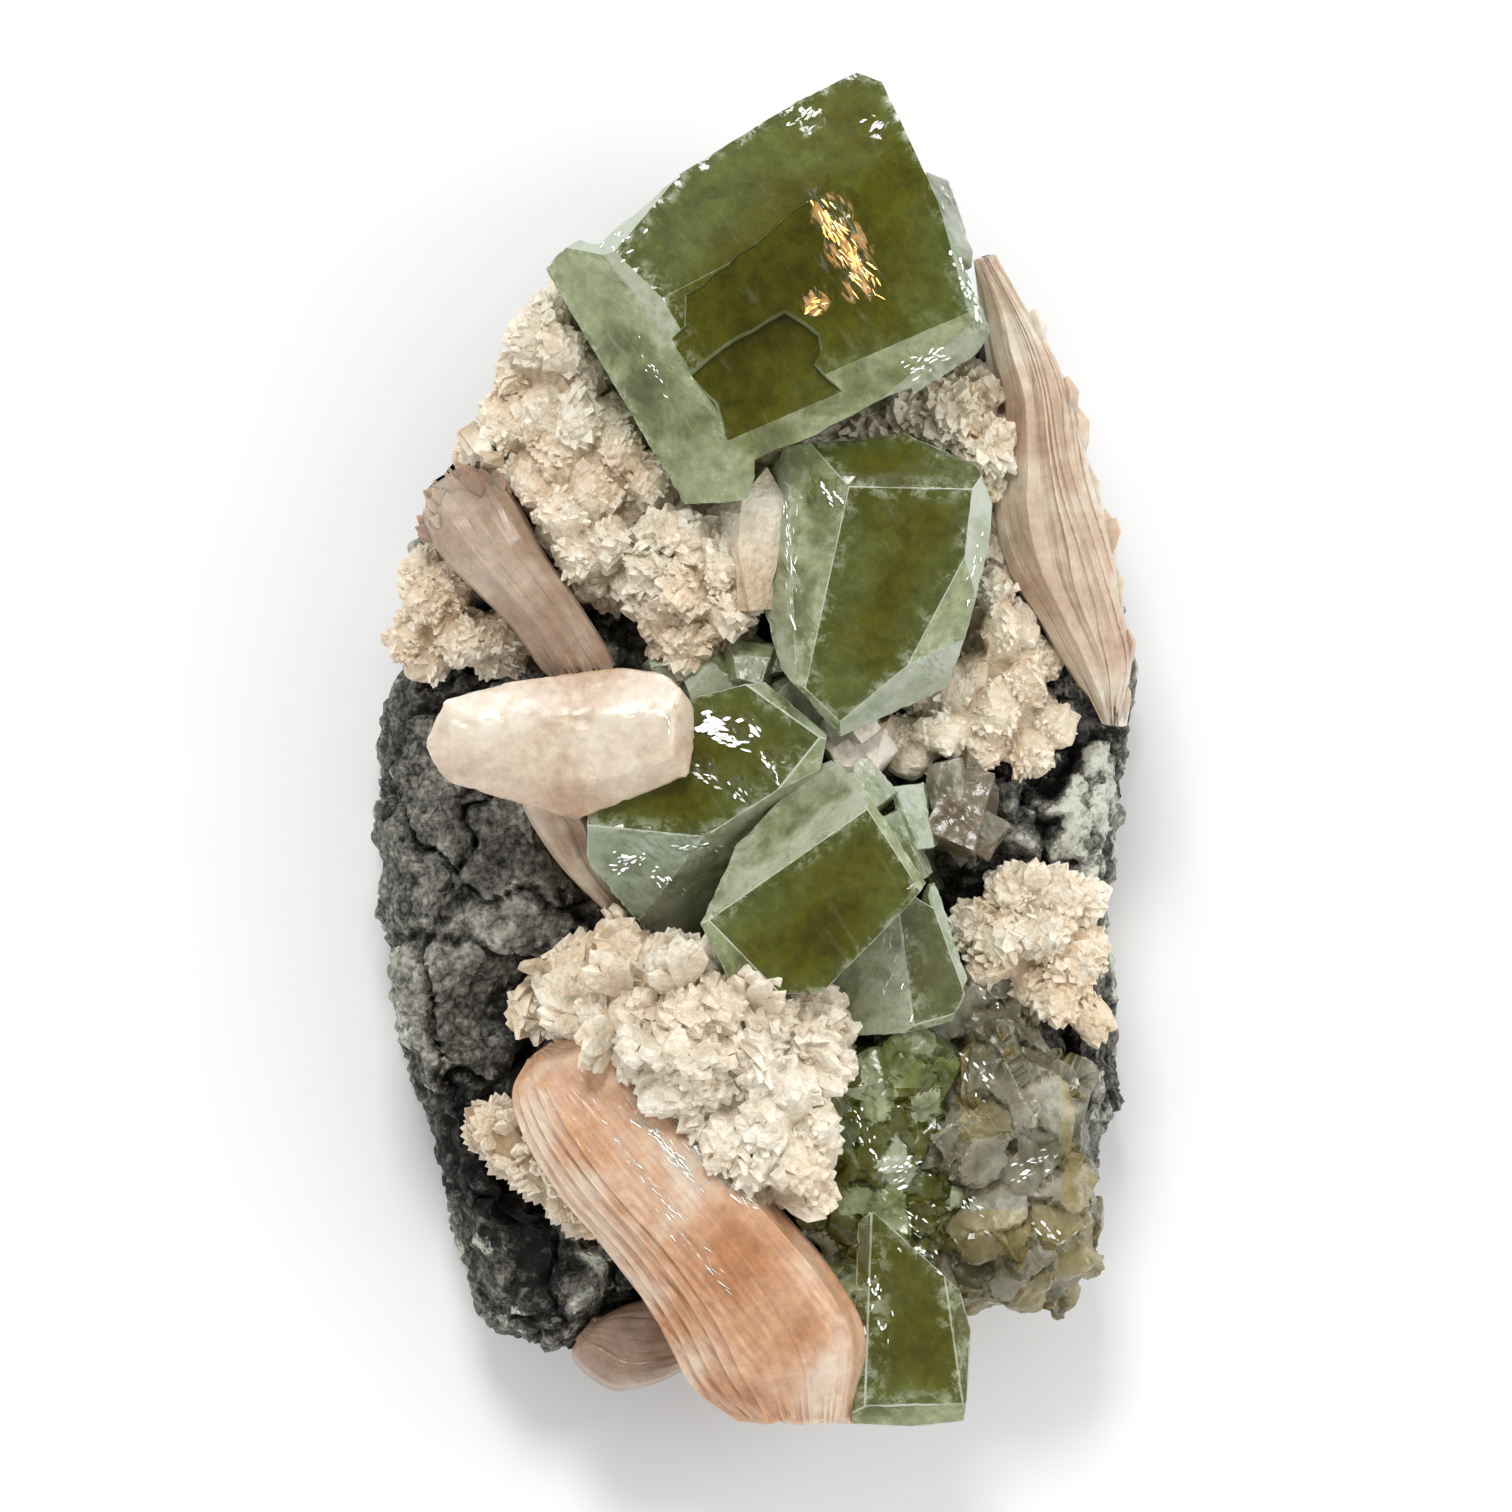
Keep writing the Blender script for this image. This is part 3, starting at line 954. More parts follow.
druses = {
    # fans to the square mm, their length, how much of it stands out, and further lumps: x, y, z, radius
    "druse_upper_left": {"density": 0.42, "length": (2.6, 4.4), "proud": 0.17, "lumps": [
        (-7.0, 27.4, 23.6, 2.8), (-5.0, 23.4, 23.4, 2.8), (-9.6, 31.6, 23.4, 2.8), (-12.6, 36.2, 22.4, 2.6),
        (-14.6, 38.2, 20.6, 2.2), (-12.6, 14.4, 21.6, 2.4), (-17.4, 29.6, 21.0, 2.4), (-19.6, 25.0, 20.6, 2.4)]},
    "druse_centre": {"density": 0.55, "length": (2.4, 3.8), "proud": 0.28, "lumps": [
        (-1.8, 16.0, 23.6, 2.4), (-2.0, 12.0, 24.4, 2.6), (-3.8, 21.4, 24.6, 2.6), (-1.0, 21.0, 23.0, 2.2),
        (-2.6, 8.4, 22.6, 2.4)]},
    "druse_left_edge": {"density": 0.6, "length": (1.8, 2.8), "proud": 0.26, "lumps": [
        (-26.4, 12.8, 20.0, 2.2), (-21.6, 20.6, 18.6, 2.2), (-18.6, 9.0, 18.6, 2.0)]},
    "druse_right_upper": {"density": 0.6, "length": (3.0, 4.6), "proud": 0.32, "lumps": [
        (12.0, 27.8, 25.0, 2.8), (15.6, 27.2, 25.0, 2.8), (1.6, 25.0, 27.2, 2.0), (19.0, 25.6, 23.6, 2.8), (19.2, 21.6, 22.6, 2.6),
        (19.6, 18.2, 21.6, 2.4), (18.4, 29.2, 23.0, 2.4), (8.4, 26.8, 26.4, 2.2), (4.6, 25.8, 26.6, 2.0)]},
    "druse_right_lower": {"density": 0.5, "length": (2.0, 3.4), "proud": 0.16, "lumps": [
        (19.6, 15.4, 21.0, 2.4), (19.0, 12.0, 22.0, 2.8), (14.6, 4.6, 23.0, 2.8), (12.2, 1.2, 23.2, 2.6),
        (16.2, 1.0, 22.0, 2.6), (20.6, 3.4, 20.8, 2.6), (22.6, 6.6, 20.0, 2.4), (23.0, 1.6, 18.8, 2.4)]},
    "druse_lower": {"density": 0.40, "length": (3.6, 6.0), "proud": 0.17, "lumps": [
        (4.4, -21.4, 26.0, 2.6), (-3.0, -16.8, 27.0, 2.8), (-17.0, -20.6, 20.6, 2.2), (-14.4, -17.4, 22.6, 2.4)]},
    "druse_right_edge": {"density": 0.60, "length": (2.2, 4.4), "proud": 0.20, "lumps": [
        (26.8, -20.6, 18.6, 2.0)]},
}
bigFans = {
    # single large fans: x, y, z, direction, length, shape
    "druse_lower": [(2.6, -20.2, 29.4, (1.0, -0.10, 0.30), 5.6, 0), (2.8, -22.8, 29.0, (1.0, -0.45, 0.3), 5.4, 0),
                    (1.8, -25.4, 29.4, (0.8, -0.6, 0.5), 5.2, 2), (-0.6, -19.4, 31.0, (0.4, 0.4, 0.9), 5.2, 0),
                    (2.0, -29.6, 27.6, (0.4, -1.0, 0.3), 5.2, 2), (3.0, -32.2, 26.4, (0.15, -1.0, 0.15), 5.4, 1),
                    (0.4, -33.0, 26.8, (-0.1, -1.0, 0.25), 4.4, 1), (-1.6, -15.6, 29.6, (0.3, 0.9, 0.4), 4.4, 2),
                    (-6.0, -18.0, 31.6, (-0.2, 0.7, 0.8), 5.4, 0), (-10.6, -18.6, 30.0, (-0.6, 0.6, 0.7), 5.4, 2),
                    (-14.0, -20.6, 28.0, (-0.9, 0.3, 0.5), 5.0, 0), (-8.6, -23.0, 32.4, (-0.3, -0.2, 1.0), 5.6, 2),
                    (-4.4, -24.0, 32.4, (0.2, -0.2, 1.0), 5.6, 0), (-11.8, -22.6, 30.6, (-0.6, -0.2, 0.9), 5.0, 0),
                    (-2.0, -28.0, 30.0, (0.1, -0.7, 0.8), 5.0, 2)],
    "druse_right_upper": [(12.4, 26.0, 27.6, (-0.2, 1.0, 0.5), 4.4, 2), (15.0, 25.6, 27.4, (0.2, 1.0, 0.5), 4.6, 2),
                          (17.6, 23.6, 26.0, (0.9, 0.5, 0.5), 4.2, 0)],
    "druse_centre": [(-0.5, 13.0, 28.6, (0.10, 1.0, 0.05), 11.6, 3), (-1.8, 12.4, 27.8, (-0.1, 1.0, 0.2), 7.6, 3)],
    "druse_right_edge": [(19.8, -15.6, 22.0, (-0.7, -0.8, 0.4), 3.6, 2), (22.0, -11.0, 22.6, (0.2, 1.0, 0.4), 3.4, 2)],
}
bladeOutline = [(-0.09, 0.0), (0.09, 0.0), (0.17, 0.50), (0.15, 0.80), (0.0, 1.0), (-0.15, 0.80), (-0.17, 0.50)]
fanShapes = [
    # angle, length and thickness of each blade
    [(-34, 0.80, 0.13), (-22, 0.92, 0.15), (-11, 0.97, 0.14), (0, 1.0, 0.16), (12, 0.95, 0.14), (24, 0.9, 0.15), (36, 0.78, 0.13)],
    [(-10, 0.92, 0.24), (1, 1.0, 0.28), (12, 0.86, 0.22)],
    [(-24, 0.86, 0.18), (-12, 0.95, 0.20), (0, 1.0, 0.18), (13, 0.93, 0.20), (25, 0.82, 0.16)],
    [(0, 1.0, 0.34), (7, 0.84, 0.42)],
]


def fanMesh(blades):
    # blades of about unit length that share a root; "tip" grows from 0 at the root to 1 at the tip
    bm = bmesh.new()
    for order, (angle, length, thick) in enumerate(blades):
        outline = [bm.verts.new((x, -thick / 2, z)) for x, z in bladeOutline]
        front = bmesh.ops.contextual_create(bm, geom=outline)["faces"]
        raised = bmesh.ops.extrude_face_region(bm, geom=front)["geom"]
        back = [part for part in raised if isinstance(part, bmesh.types.BMVert)]
        bmesh.ops.translate(bm, vec=(0, thick, 0), verts=back)
        whole = outline + back
        bmesh.ops.scale(bm, vec=(1, 0.35, 1), verts=[v for v in whole if v.co.z > 0.95])
        turn = Matrix.Rotation(math.radians(angle), 4, "Y") @ Matrix.Rotation(0.10 * (order % 3 - 1), 4, "X")
        shape = turn @ Matrix.Rotation(0.35 * (order % 2) - 0.17, 4, "Z") @ Matrix.Diagonal((1, 1, length, 1))
        bmesh.ops.transform(bm, matrix=shape, verts=whole)
    tipLayer = bm.verts.layers.float.new("tip")
    for vert in bm.verts:
        vert[tipLayer] = max(0.0, min(1.0, vert.co.length))
    bmesh.ops.recalc_face_normals(bm, faces=bm.faces)
    mesh = bpy.data.meshes.new("fan")
    bm.to_mesh(mesh)
    bm.free()
    return mesh


def surfacePoints(bm, chance, count, lowest=-0.25):
    # chance points on the faces that look up or sideways, spread by area
    faces = [face for face in bm.faces if face.normal.z > lowest]
    areas = [face.calc_area() for face in faces]
    points = []
    for face in chance.choices(faces, weights=areas, k=int(count * sum(areas) / mm ** 2)):
        a, b, c = (loop.vert.co for loop in face.loops[:3])
        u, v = chance.random(), chance.random()
        if u + v > 1:
            u, v = 1 - u, 1 - v
        points.append((a + (b - a) * u + (c - a) * v, face.normal.copy()))
    return points


def crustGround(node, lumps):
    # the crust's solid with further lumps, as one even mesh
    bm = nodeCopy(node)
    for x, y, z, radius in lumps:
        bmesh.ops.create_icosphere(bm, subdivisions=2, radius=radius * mm, matrix=Matrix.Translation(at(x, y, z)))
    ground = evened(looseObject("ground", bm), 0.55)
    bm = bmesh.new()
    bm.from_mesh(ground.data)
    bpy.data.objects.remove(ground)
    bmesh.ops.triangulate(bm, faces=bm.faces)
    for _ in range(3):
        bmesh.ops.smooth_vert(bm, verts=bm.verts, factor=0.6, use_axis_x=True, use_axis_y=True, use_axis_z=True)
    bm.normal_update()
    return bm


def rosetteRelief(bm, centres):
    # rounds the ground up into a ball about each rosette's centre
    tip = bm.verts.layers.float.new("tip")
    balls = KDTree(len(centres))
    for i, (point, _) in enumerate(centres):
        balls.insert(point, i)
    balls.balance()
    moves = []
    for vert in bm.verts:
        away = balls.find(vert.co)[2] / mm
        spot = vert.co / mm
        rise = 0.9 - 0.26 * away * away + 0.35 * noise.noise(spot * 0.9) + 0.16 * noise.noise(spot * 2.7)
        rise = max(-1.2, rise)
        vert[tip] = 0.50 + 0.26 * rise
        moves.append(vert.normal * rise * mm)
    for vert, move in zip(bm.verts, moves):
        vert.co += move
    bm.normal_update()
    return balls


def addFan(bm, fans, shape, point, outward, length, proud, spin, wide=1.0):
    turn = outward.to_track_quat("Z", "Y").to_matrix().to_4x4() @ Matrix.Rotation(spin, 4, "Z")
    fan = fans[shape].copy()
    size = Matrix.Diagonal((length * wide, length * wide, length, 1))
    fan.transform(Matrix.Translation(point - outward * length * (1 - proud)) @ turn @ size)
    bm.from_mesh(fan)
    bpy.data.meshes.remove(fan)


def makeDruse(material, crystalTrees):
    fans = [fanMesh(shape) for shape in fanShapes]
    for number, (node, look) in enumerate(druses.items()):
        chance = random.Random(40 + number)
        bm = crustGround(node, look["lumps"])
        centres = []
        for point, normal in surfacePoints(bm, chance, 1.0):
            if all((point - other).length > 3.4 * mm for other, _ in centres):
                centres.append((point, normal))
        balls = rosetteRelief(bm, centres)
        spots = surfacePoints(bm, chance, look["density"])
        for point, normal in spots:
            middle, up = centres[balls.find(point)[1]]
            outward = ((point - middle + up * 1.6 * mm).normalized() + normal * 0.8).normalized()
            outward = (outward + Vector([chance.gauss(0, 0.14) for _ in range(3)])).normalized()
            length = chance.uniform(*look["length"]) * mm
            if any(inside(tree, point + outward * length * look["proud"]) for tree in crystalTrees):
                continue
            shape = chance.choice((0, 1, 2, 2, 3))
            addFan(bm, fans, shape, point, outward, length, look["proud"], chance.uniform(0, math.tau),
                   chance.uniform(0.8, 1.25))
        for x, y, z, direction, length, shape in bigFans.get(node, []):
            outward = Vector(direction).normalized()
            addFan(bm, fans, shape, at(x, y, z), outward, length * mm, 0.9, chance.uniform(-0.6, 0.6))
        piece = looseObject(node.replace("druse", "crust"), bm, [material])
        declare(piece, "druse", node)
    print("druse done")


def inside(tree, point):
    surface, normal, _, _ = tree.ray_cast(point, Vector((0, 0, 1)))
    return surface is not None and normal.z > 0


drusePalette = {"root": (0.43, 0.32, 0.19), "middle": (0.73, 0.63, 0.48), "tip": (0.90, 0.85, 0.72)}


mossPlaces = [(24.0, -2.0, 9.0), (25.0, -16.0, 8.0), (-24.0, 18.0, 5.0), (-17.0, 33.0, 6.0), (-16.0, -18.0, 5.0), (20.0, 10.0, 6.0)]


def makeDruseMaterial():
    material, tree, shader = startMaterial("druse")
    where = objectPlace(tree)
    tip = addNode(tree, "ShaderNodeAttribute", attribute_name="tip").outputs["Fac"]
    cloudy = turned(tree, grain(tree, where, 420.0, 5.0, 0.65), 0.5, turned(tree, tip, 0.9, -0.15))
    colour = ramp(tree, cloudy, [(0.1, drusePalette["root"]), (0.9, drusePalette["tip"]), (0.52, drusePalette["middle"])])
    patches = grain(tree, where, 130.0, 3.0)
    colour = mixed(tree, ramp(tree, patches, [(0.44, (0, 0, 0)), (0.66, (0.6, 0.6, 0.6))]), colour,
                   (0.94, 0.79, 0.63), "MULTIPLY")
    cream = nearness(tree, where, -2.0, -24.0, 16.0)
    colour = mixed(tree, product(tree, cream, 0.5), colour, (0.90, 0.86, 0.76))
    moss = turned(tree, grain(tree, where, 330.0, 4.0, 0.7), 1.0, -0.64)
    for x, y, radius in mossPlaces:
        moss = turned(tree, nearness(tree, where, x, y, radius), 0.10, moss)
    colour = mixed(tree, threshold(tree, moss, 0.02, 0.16), colour, (0.42, 0.44, 0.34))
    pebbles = addNode(tree, "ShaderNodeTexVoronoi", {"Vector": where, "Scale": 1300.0}).outputs["Distance"]
    fine = turned(tree, pebbles, -0.5, turned(tree, grain(tree, where, 1800.0, 3.0, 0.7), 1.0, 0.20))
    colour = mixed(tree, 0.45, colour, ramp(tree, fine, [(0.28, (0.72, 0.62, 0.52)), (0.52, (1, 1, 1))]), "MULTIPLY")
    tree.links.new(colour, shader.inputs["Base Color"])
    shader.inputs["Roughness"].default_value = 0.42
    bumped(tree, shader, fine, 0.8, 0.40 * mm)
    return material


# stilbite: sheaves of thin plates between two curved edges

sheafSections = {
    # place across from -1 to 1, and height from 0 at the middle plane to 1
    "layered": [(-1.0, 0.0), (-0.985, 0.30), (-0.88, 0.33), (-0.87, 0.50), (-0.74, 0.54), (-0.73, 0.70), (-0.58, 0.74),
                (-0.57, 0.86), (-0.44, 0.88), (-0.43, 0.95), (0.0, 0.99), (0.55, 1.0), (0.82, 0.92), (0.90, 0.62),
                (0.97, 0.50), (1.0, 0.0)],
    "tabular": [(-1.0, 0.0), (-0.86, 0.72), (-0.62, 0.94), (0.0, 1.0), (0.66, 0.92), (0.9, 0.68), (1.0, 0.0)],
    "ridged": [(-1.0, 0.0), (-0.94, 0.45), (-0.6, 0.70), (-0.38, 0.92), (-0.1, 0.84), (0.1, 0.90), (0.36, 0.74),
               (0.66, 0.70), (0.92, 0.42), (1.0, 0.0)],
}
orangeSheaf = {
    "section": "layered", "plates": 42, "step": 0.06, "wander": 0.04, "seed": 3, "crown": 0.0, "splinters": 0.30,
    "left": [(-18.4, -24.4), (-19.6, -27.2), (-18.4, -31.2), (-15.4, -35.8), (-11.2, -40.6), (-7.6, -46.0),
             (-5.2, -50.6), (-1.6, -53.4)],
    "right": [(-16.0, -22.8), (-11.0, -22.6), (-6.5, -27.0), (-1.5, -32.5), (2.8, -37.2), (6.8, -42.0),
              (9.0, -46.8), (7.8, -53.4)],
    "level": [22.0, 22.2, 22.6, 23.0, 23.0, 22.6, 22.0, 20.6],
    "thick": [2.6, 6.4, 7.6, 7.8, 7.6, 7.4, 6.8, 5.0],
    "under": [16.0, 14.5, 13.5, 13.0, 13.5, 15.0, 16.0, 17.0],
    "ends": (0.15, 0.30),
}
leftSheaf = {
    "section": "ridged", "plates": 34, "step": 0.06, "wander": 0.12, "seed": 8, "crown": 0.0,
    "left": [(-26.6, 20.6), (-26.7, 18.6), (-25.0, 15.7), (-22.3, 13.0), (-19.5, 10.2), (-17.6, 7.4), (-16.6, 6.2)],
    "right": [(-23.0, 23.4), (-20.7, 22.4), (-18.7, 19.7), (-17.0, 16.4), (-14.4, 12.6), (-12.1, 9.0), (-11.2, 7.1)],
    "level": [22.6, 23.4, 24.6, 25.4, 25.8, 25.6, 25.4],
    "thick": [2.6, 3.4, 3.6, 3.4, 3.2, 3.0, 2.4],
    "under": [17.5, 17.0, 17.0, 17.5, 18.0, 18.5, 19.0],
    "ends": (1.0, 0.3),
}
rightSpray = {
    "section": "ridged", "plates": 26, "step": 0.26, "wander": 0.22, "seed": 12, "crown": 0.0,
    "left": [(17.4, 39.6), (18.2, 36.6), (18.8, 32.6), (19.8, 28.6), (19.6, 24.2), (19.0, 19.6), (20.0, 15.0),
             (22.4, 11.2), (25.0, 7.0), (27.6, 3.2)],
    "right": [(19.2, 40.2), (21.4, 36.4), (23.8, 32.4), (25.4, 28.4), (26.6, 24.0), (28.0, 19.6), (29.0, 15.4),
              (29.6, 11.4), (30.2, 7.6), (29.4, 3.2)],
    "level": [27.0, 26.6, 26.0, 25.2, 24.4, 23.6, 22.6, 21.8, 21.2, 20.6],
    "thick": [0.5, 2.4, 3.6, 4.0, 4.4, 4.6, 4.4, 4.0, 3.4, 2.2],
    "under": [26.2, 22.4, 18.0, 15.5, 14.5, 14.5, 14.5, 14.5, 14.5, 15.0],
    "ends": (0.2, 0.8),
}
creamTablet = {
    "root": 28.4,
    "rim": 0.55,
    "top": {"point": (-15.0, 1.4, 34.4), "towards": 200, "dip": 6.0},
    "faces": [
        (-6.4, 3.4, -24.6, 2.6, 0.0, 22, "peach"),
        (-24.6, 0.6, -14.0, -2.4, 0.0, 34, "peach"),
        (-14.0, -2.4, -6.0, 0.2, 0.0, 42, "peach"),
        (-6.8, -3.0, -6.6, 4.4, 0.0, 52, "peach"),
        (-23.8, 4.0, -24.4, -1.0, 0.0, 34, "peach"),
        (-24.6, -1.8, -14.3, -4.9, 3.6, 100, "peach"),
        (-14.3, -4.9, -5.6, -1.4, 3.6, 100, "peach"),
        (-5.6, -1.4, -5.0, 1.0, 3.6, 100, "peach"),
        (-5.0, 1.0, -5.2, 4.0, 3.6, 100, "peach"),
        (-5.2, 4.0, -7.4, 6.3, 3.6, 100, "peach"),
        (-7.4, 6.3, -11.0, 6.8, 3.6, 100, "peach"),
        (-11.0, 6.8, -19.6, 5.6, 3.6, 100, "peach"),
        (-19.6, 5.6, -24.6, 4.1, 3.6, 100, "peach"),
        (-24.6, 4.1, -26.1, 0.9, 3.6, 100, "peach"),
        (-26.1, 0.9, -24.6, -1.8, 3.6, 100, "peach"),
    ],
}
tabletTail = {
    "section": "tabular", "plates": 5, "step": 0.08, "wander": 0.05, "seed": 23, "crown": 0.02,
    "left": [(-19.2, -1.2), (-18.9, -3.4), (-17.8, -5.8), (-15.4, -9.2), (-12.6, -12.0), (-11.2, -13.2)],
    "right": [(-14.6, -0.6), (-14.4, -3.8), (-13.0, -5.5), (-12.7, -7.9), (-11.0, -10.8), (-10.0, -12.5)],
    "level": [27.4, 26.8, 25.8, 24.2, 22.6, 21.4],
    "thick": [2.4, 2.6, 2.6, 2.6, 2.2, 1.6],
    "under": [24.2, 22.2, 19.4, 17.4, 16.4, 16.4],
    "ends": (0.1, 0.2),
}
edgeBlade = {
    "section": "tabular", "plates": 6, "step": 0.2, "wander": 0.08, "seed": 31, "crown": 0.05,
    "left": [(-23.4, -28.6), (-22.9, -31.0), (-20.0, -33.2), (-16.0, -35.8), (-13.2, -38.8)],
    "right": [(-22.0, -28.0), (-19.6, -28.4), (-16.8, -30.4), (-13.4, -34.6), (-11.4, -37.4)],
    "level": [19.4, 19.4, 19.6, 19.8, 19.6],
    "thick": [1.2, 2.2, 2.6, 2.6, 1.8],
    "under": [15.0, 14.0, 13.5, 13.5, 14.0],
    "ends": (0.3, 0.3), "foot": 0.5,
}
footBlade = {
    "section": "tabular", "plates": 9, "step": 0.2, "wander": 0.06, "seed": 33, "crown": 0.05,
    "left": [(-14.8, -47.2), (-14.6, -49.0), (-11.6, -51.2), (-8.0, -50.6), (-5.2, -49.2)],
    "right": [(-12.8, -45.4), (-10.6, -44.2), (-7.6, -43.4), (-6.0, -43.8), (-4.6, -45.0)],
    "level": [12.6, 12.8, 13.2, 13.4, 13.6],
    "thick": [2.6, 4.0, 4.6, 4.4, 3.4],
    "under": [9.0, 8.0, 7.6, 8.0, 8.8],
    "ends": (0.3, 0.3), "foot": 0.75,
}


def alongCurve(values, share):
    # a smooth curve through equally spaced values; share runs from 0 to 1
    spot = share * (len(values) - 1)
    i = min(int(spot), len(values) - 2)
    t = spot - i
    b, c = Vector(values[i]), Vector(values[i + 1])
    a = Vector(values[i - 1]) if i > 0 else b * 2 - c
    d = Vector(values[i + 2]) if i + 2 < len(values) else c * 2 - b
    return 0.5 * ((2 * b) + (c - a) * t + (2 * a - 5 * b + 4 * c - d) * t * t + (3 * b - a - 3 * c + d) * t ** 3)


def number(values, share):
    return alongCurve([(value, 0) for value in values], share).x


def sectionHeight(name, across):
    points = sheafSections[name]
    for (x1, h1), (x2, h2) in zip(points, points[1:]):
        if across <= x2:
            return h1 + (h2 - h1) * (across - x1) / (x2 - x1)
    return points[-1][1]


topShare = 0.8  # how much of the way round a sheaf its upper side takes


def growSheaf(form):
    # a grid rolled into a closed body between the two edges, its top broken into plates
    chance = random.Random(form["seed"])
    plates = form["plates"]
    rises = [chance.uniform(-1, 1) * form["step"] for _ in range(plates + 2)]
    slips = [chance.uniform(-1, 1) for _ in range(plates + 2)]
    around = int(plates * 6 / topShare) + 8
    length = sum((Vector(a) - Vector(b)).length for a, b in zip(form["left"], form["left"][1:]))
    rows = max(24, int(length / 0.32))
    bm = bmesh.new()
    bm.loops.layers.uv.new("UVMap")
    bmesh.ops.create_grid(bm, x_segments=around, y_segments=rows, size=1.0, calc_uvs=True)
    for vert in bm.verts:
        turn, share = (vert.co.x + 1) / 2, (vert.co.y + 1) / 2
        onTop = turn < topShare
        across = -1 + 2 * turn / topShare if onTop else 1 - 2 * (turn - topShare) / (1 - topShare)
        left, right = alongCurve(form["left"], share), alongCurve(form["right"], share)
        level, thick = number(form["level"], share), number(form["thick"], share)
        reach = across if onTop else across * form.get("foot", 0.82)
        x, y = left.lerp(right, (reach + 1) / 2)
        sway = noise.noise(Vector((share * 3.1, across * 1.5, form["seed"]))) * form["wander"]
        spot = ((across + 1) / 2 + sway * (1 - across ** 6)) * plates
        plate = max(0, min(plates, int(spot)))
        inPlate = spot - int(spot)
        if onTop:
            edge = min(1.0, 6 * (1 - abs(across)))
            z = level + sectionHeight(form["section"], across) * thick
            fade = 0.5 + noise.noise(Vector((share * 4, plate * 3.7, form["seed"])))
            z += (rises[plate] * fade + form["crown"] * math.sin(math.pi * inPlate)) * edge
            along = x * 0.64 - y * 0.77
            acrossPlace = x * 0.77 + y * 0.64
            z += 0.16 * noise.noise(Vector((x, y, 3)) * 0.6)
            rough = form.get("splinters", 0.0) * (0.25 + 0.75 * max(0.0, min(1.0, 0.2 - 1.4 * across)))
            z += rough * noise.noise(Vector((along * 0.5, acrossPlace * 2.4, form["seed"])))
        else:
            z = min(level, number(form["under"], share))
        lengthwise = Vector((left.y - right.y, right.x - left.x)).normalized()
        atStart, atEnd = max(0, 1 - share * 14), max(0, 1 - (1 - share) * 14)
        slip = slips[plate] * (form["ends"][1] * atEnd - form["ends"][0] * atStart)
        vert.co = at(x + lengthwise.x * slip, y + lengthwise.y * slip, z)
    bmesh.ops.remove_doubles(bm, verts=bm.verts, dist=1e-6)
    bmesh.ops.holes_fill(bm, edges=[edge for edge in bm.edges if edge.is_boundary])
    bmesh.ops.triangulate(bm, faces=[face for face in bm.faces if len(face.verts) > 4])
    bmesh.ops.recalc_face_normals(bm, faces=bm.faces)
    if bm.calc_volume(signed=True) < 0:
        bmesh.ops.reverse_faces(bm, faces=bm.faces)
    return bm


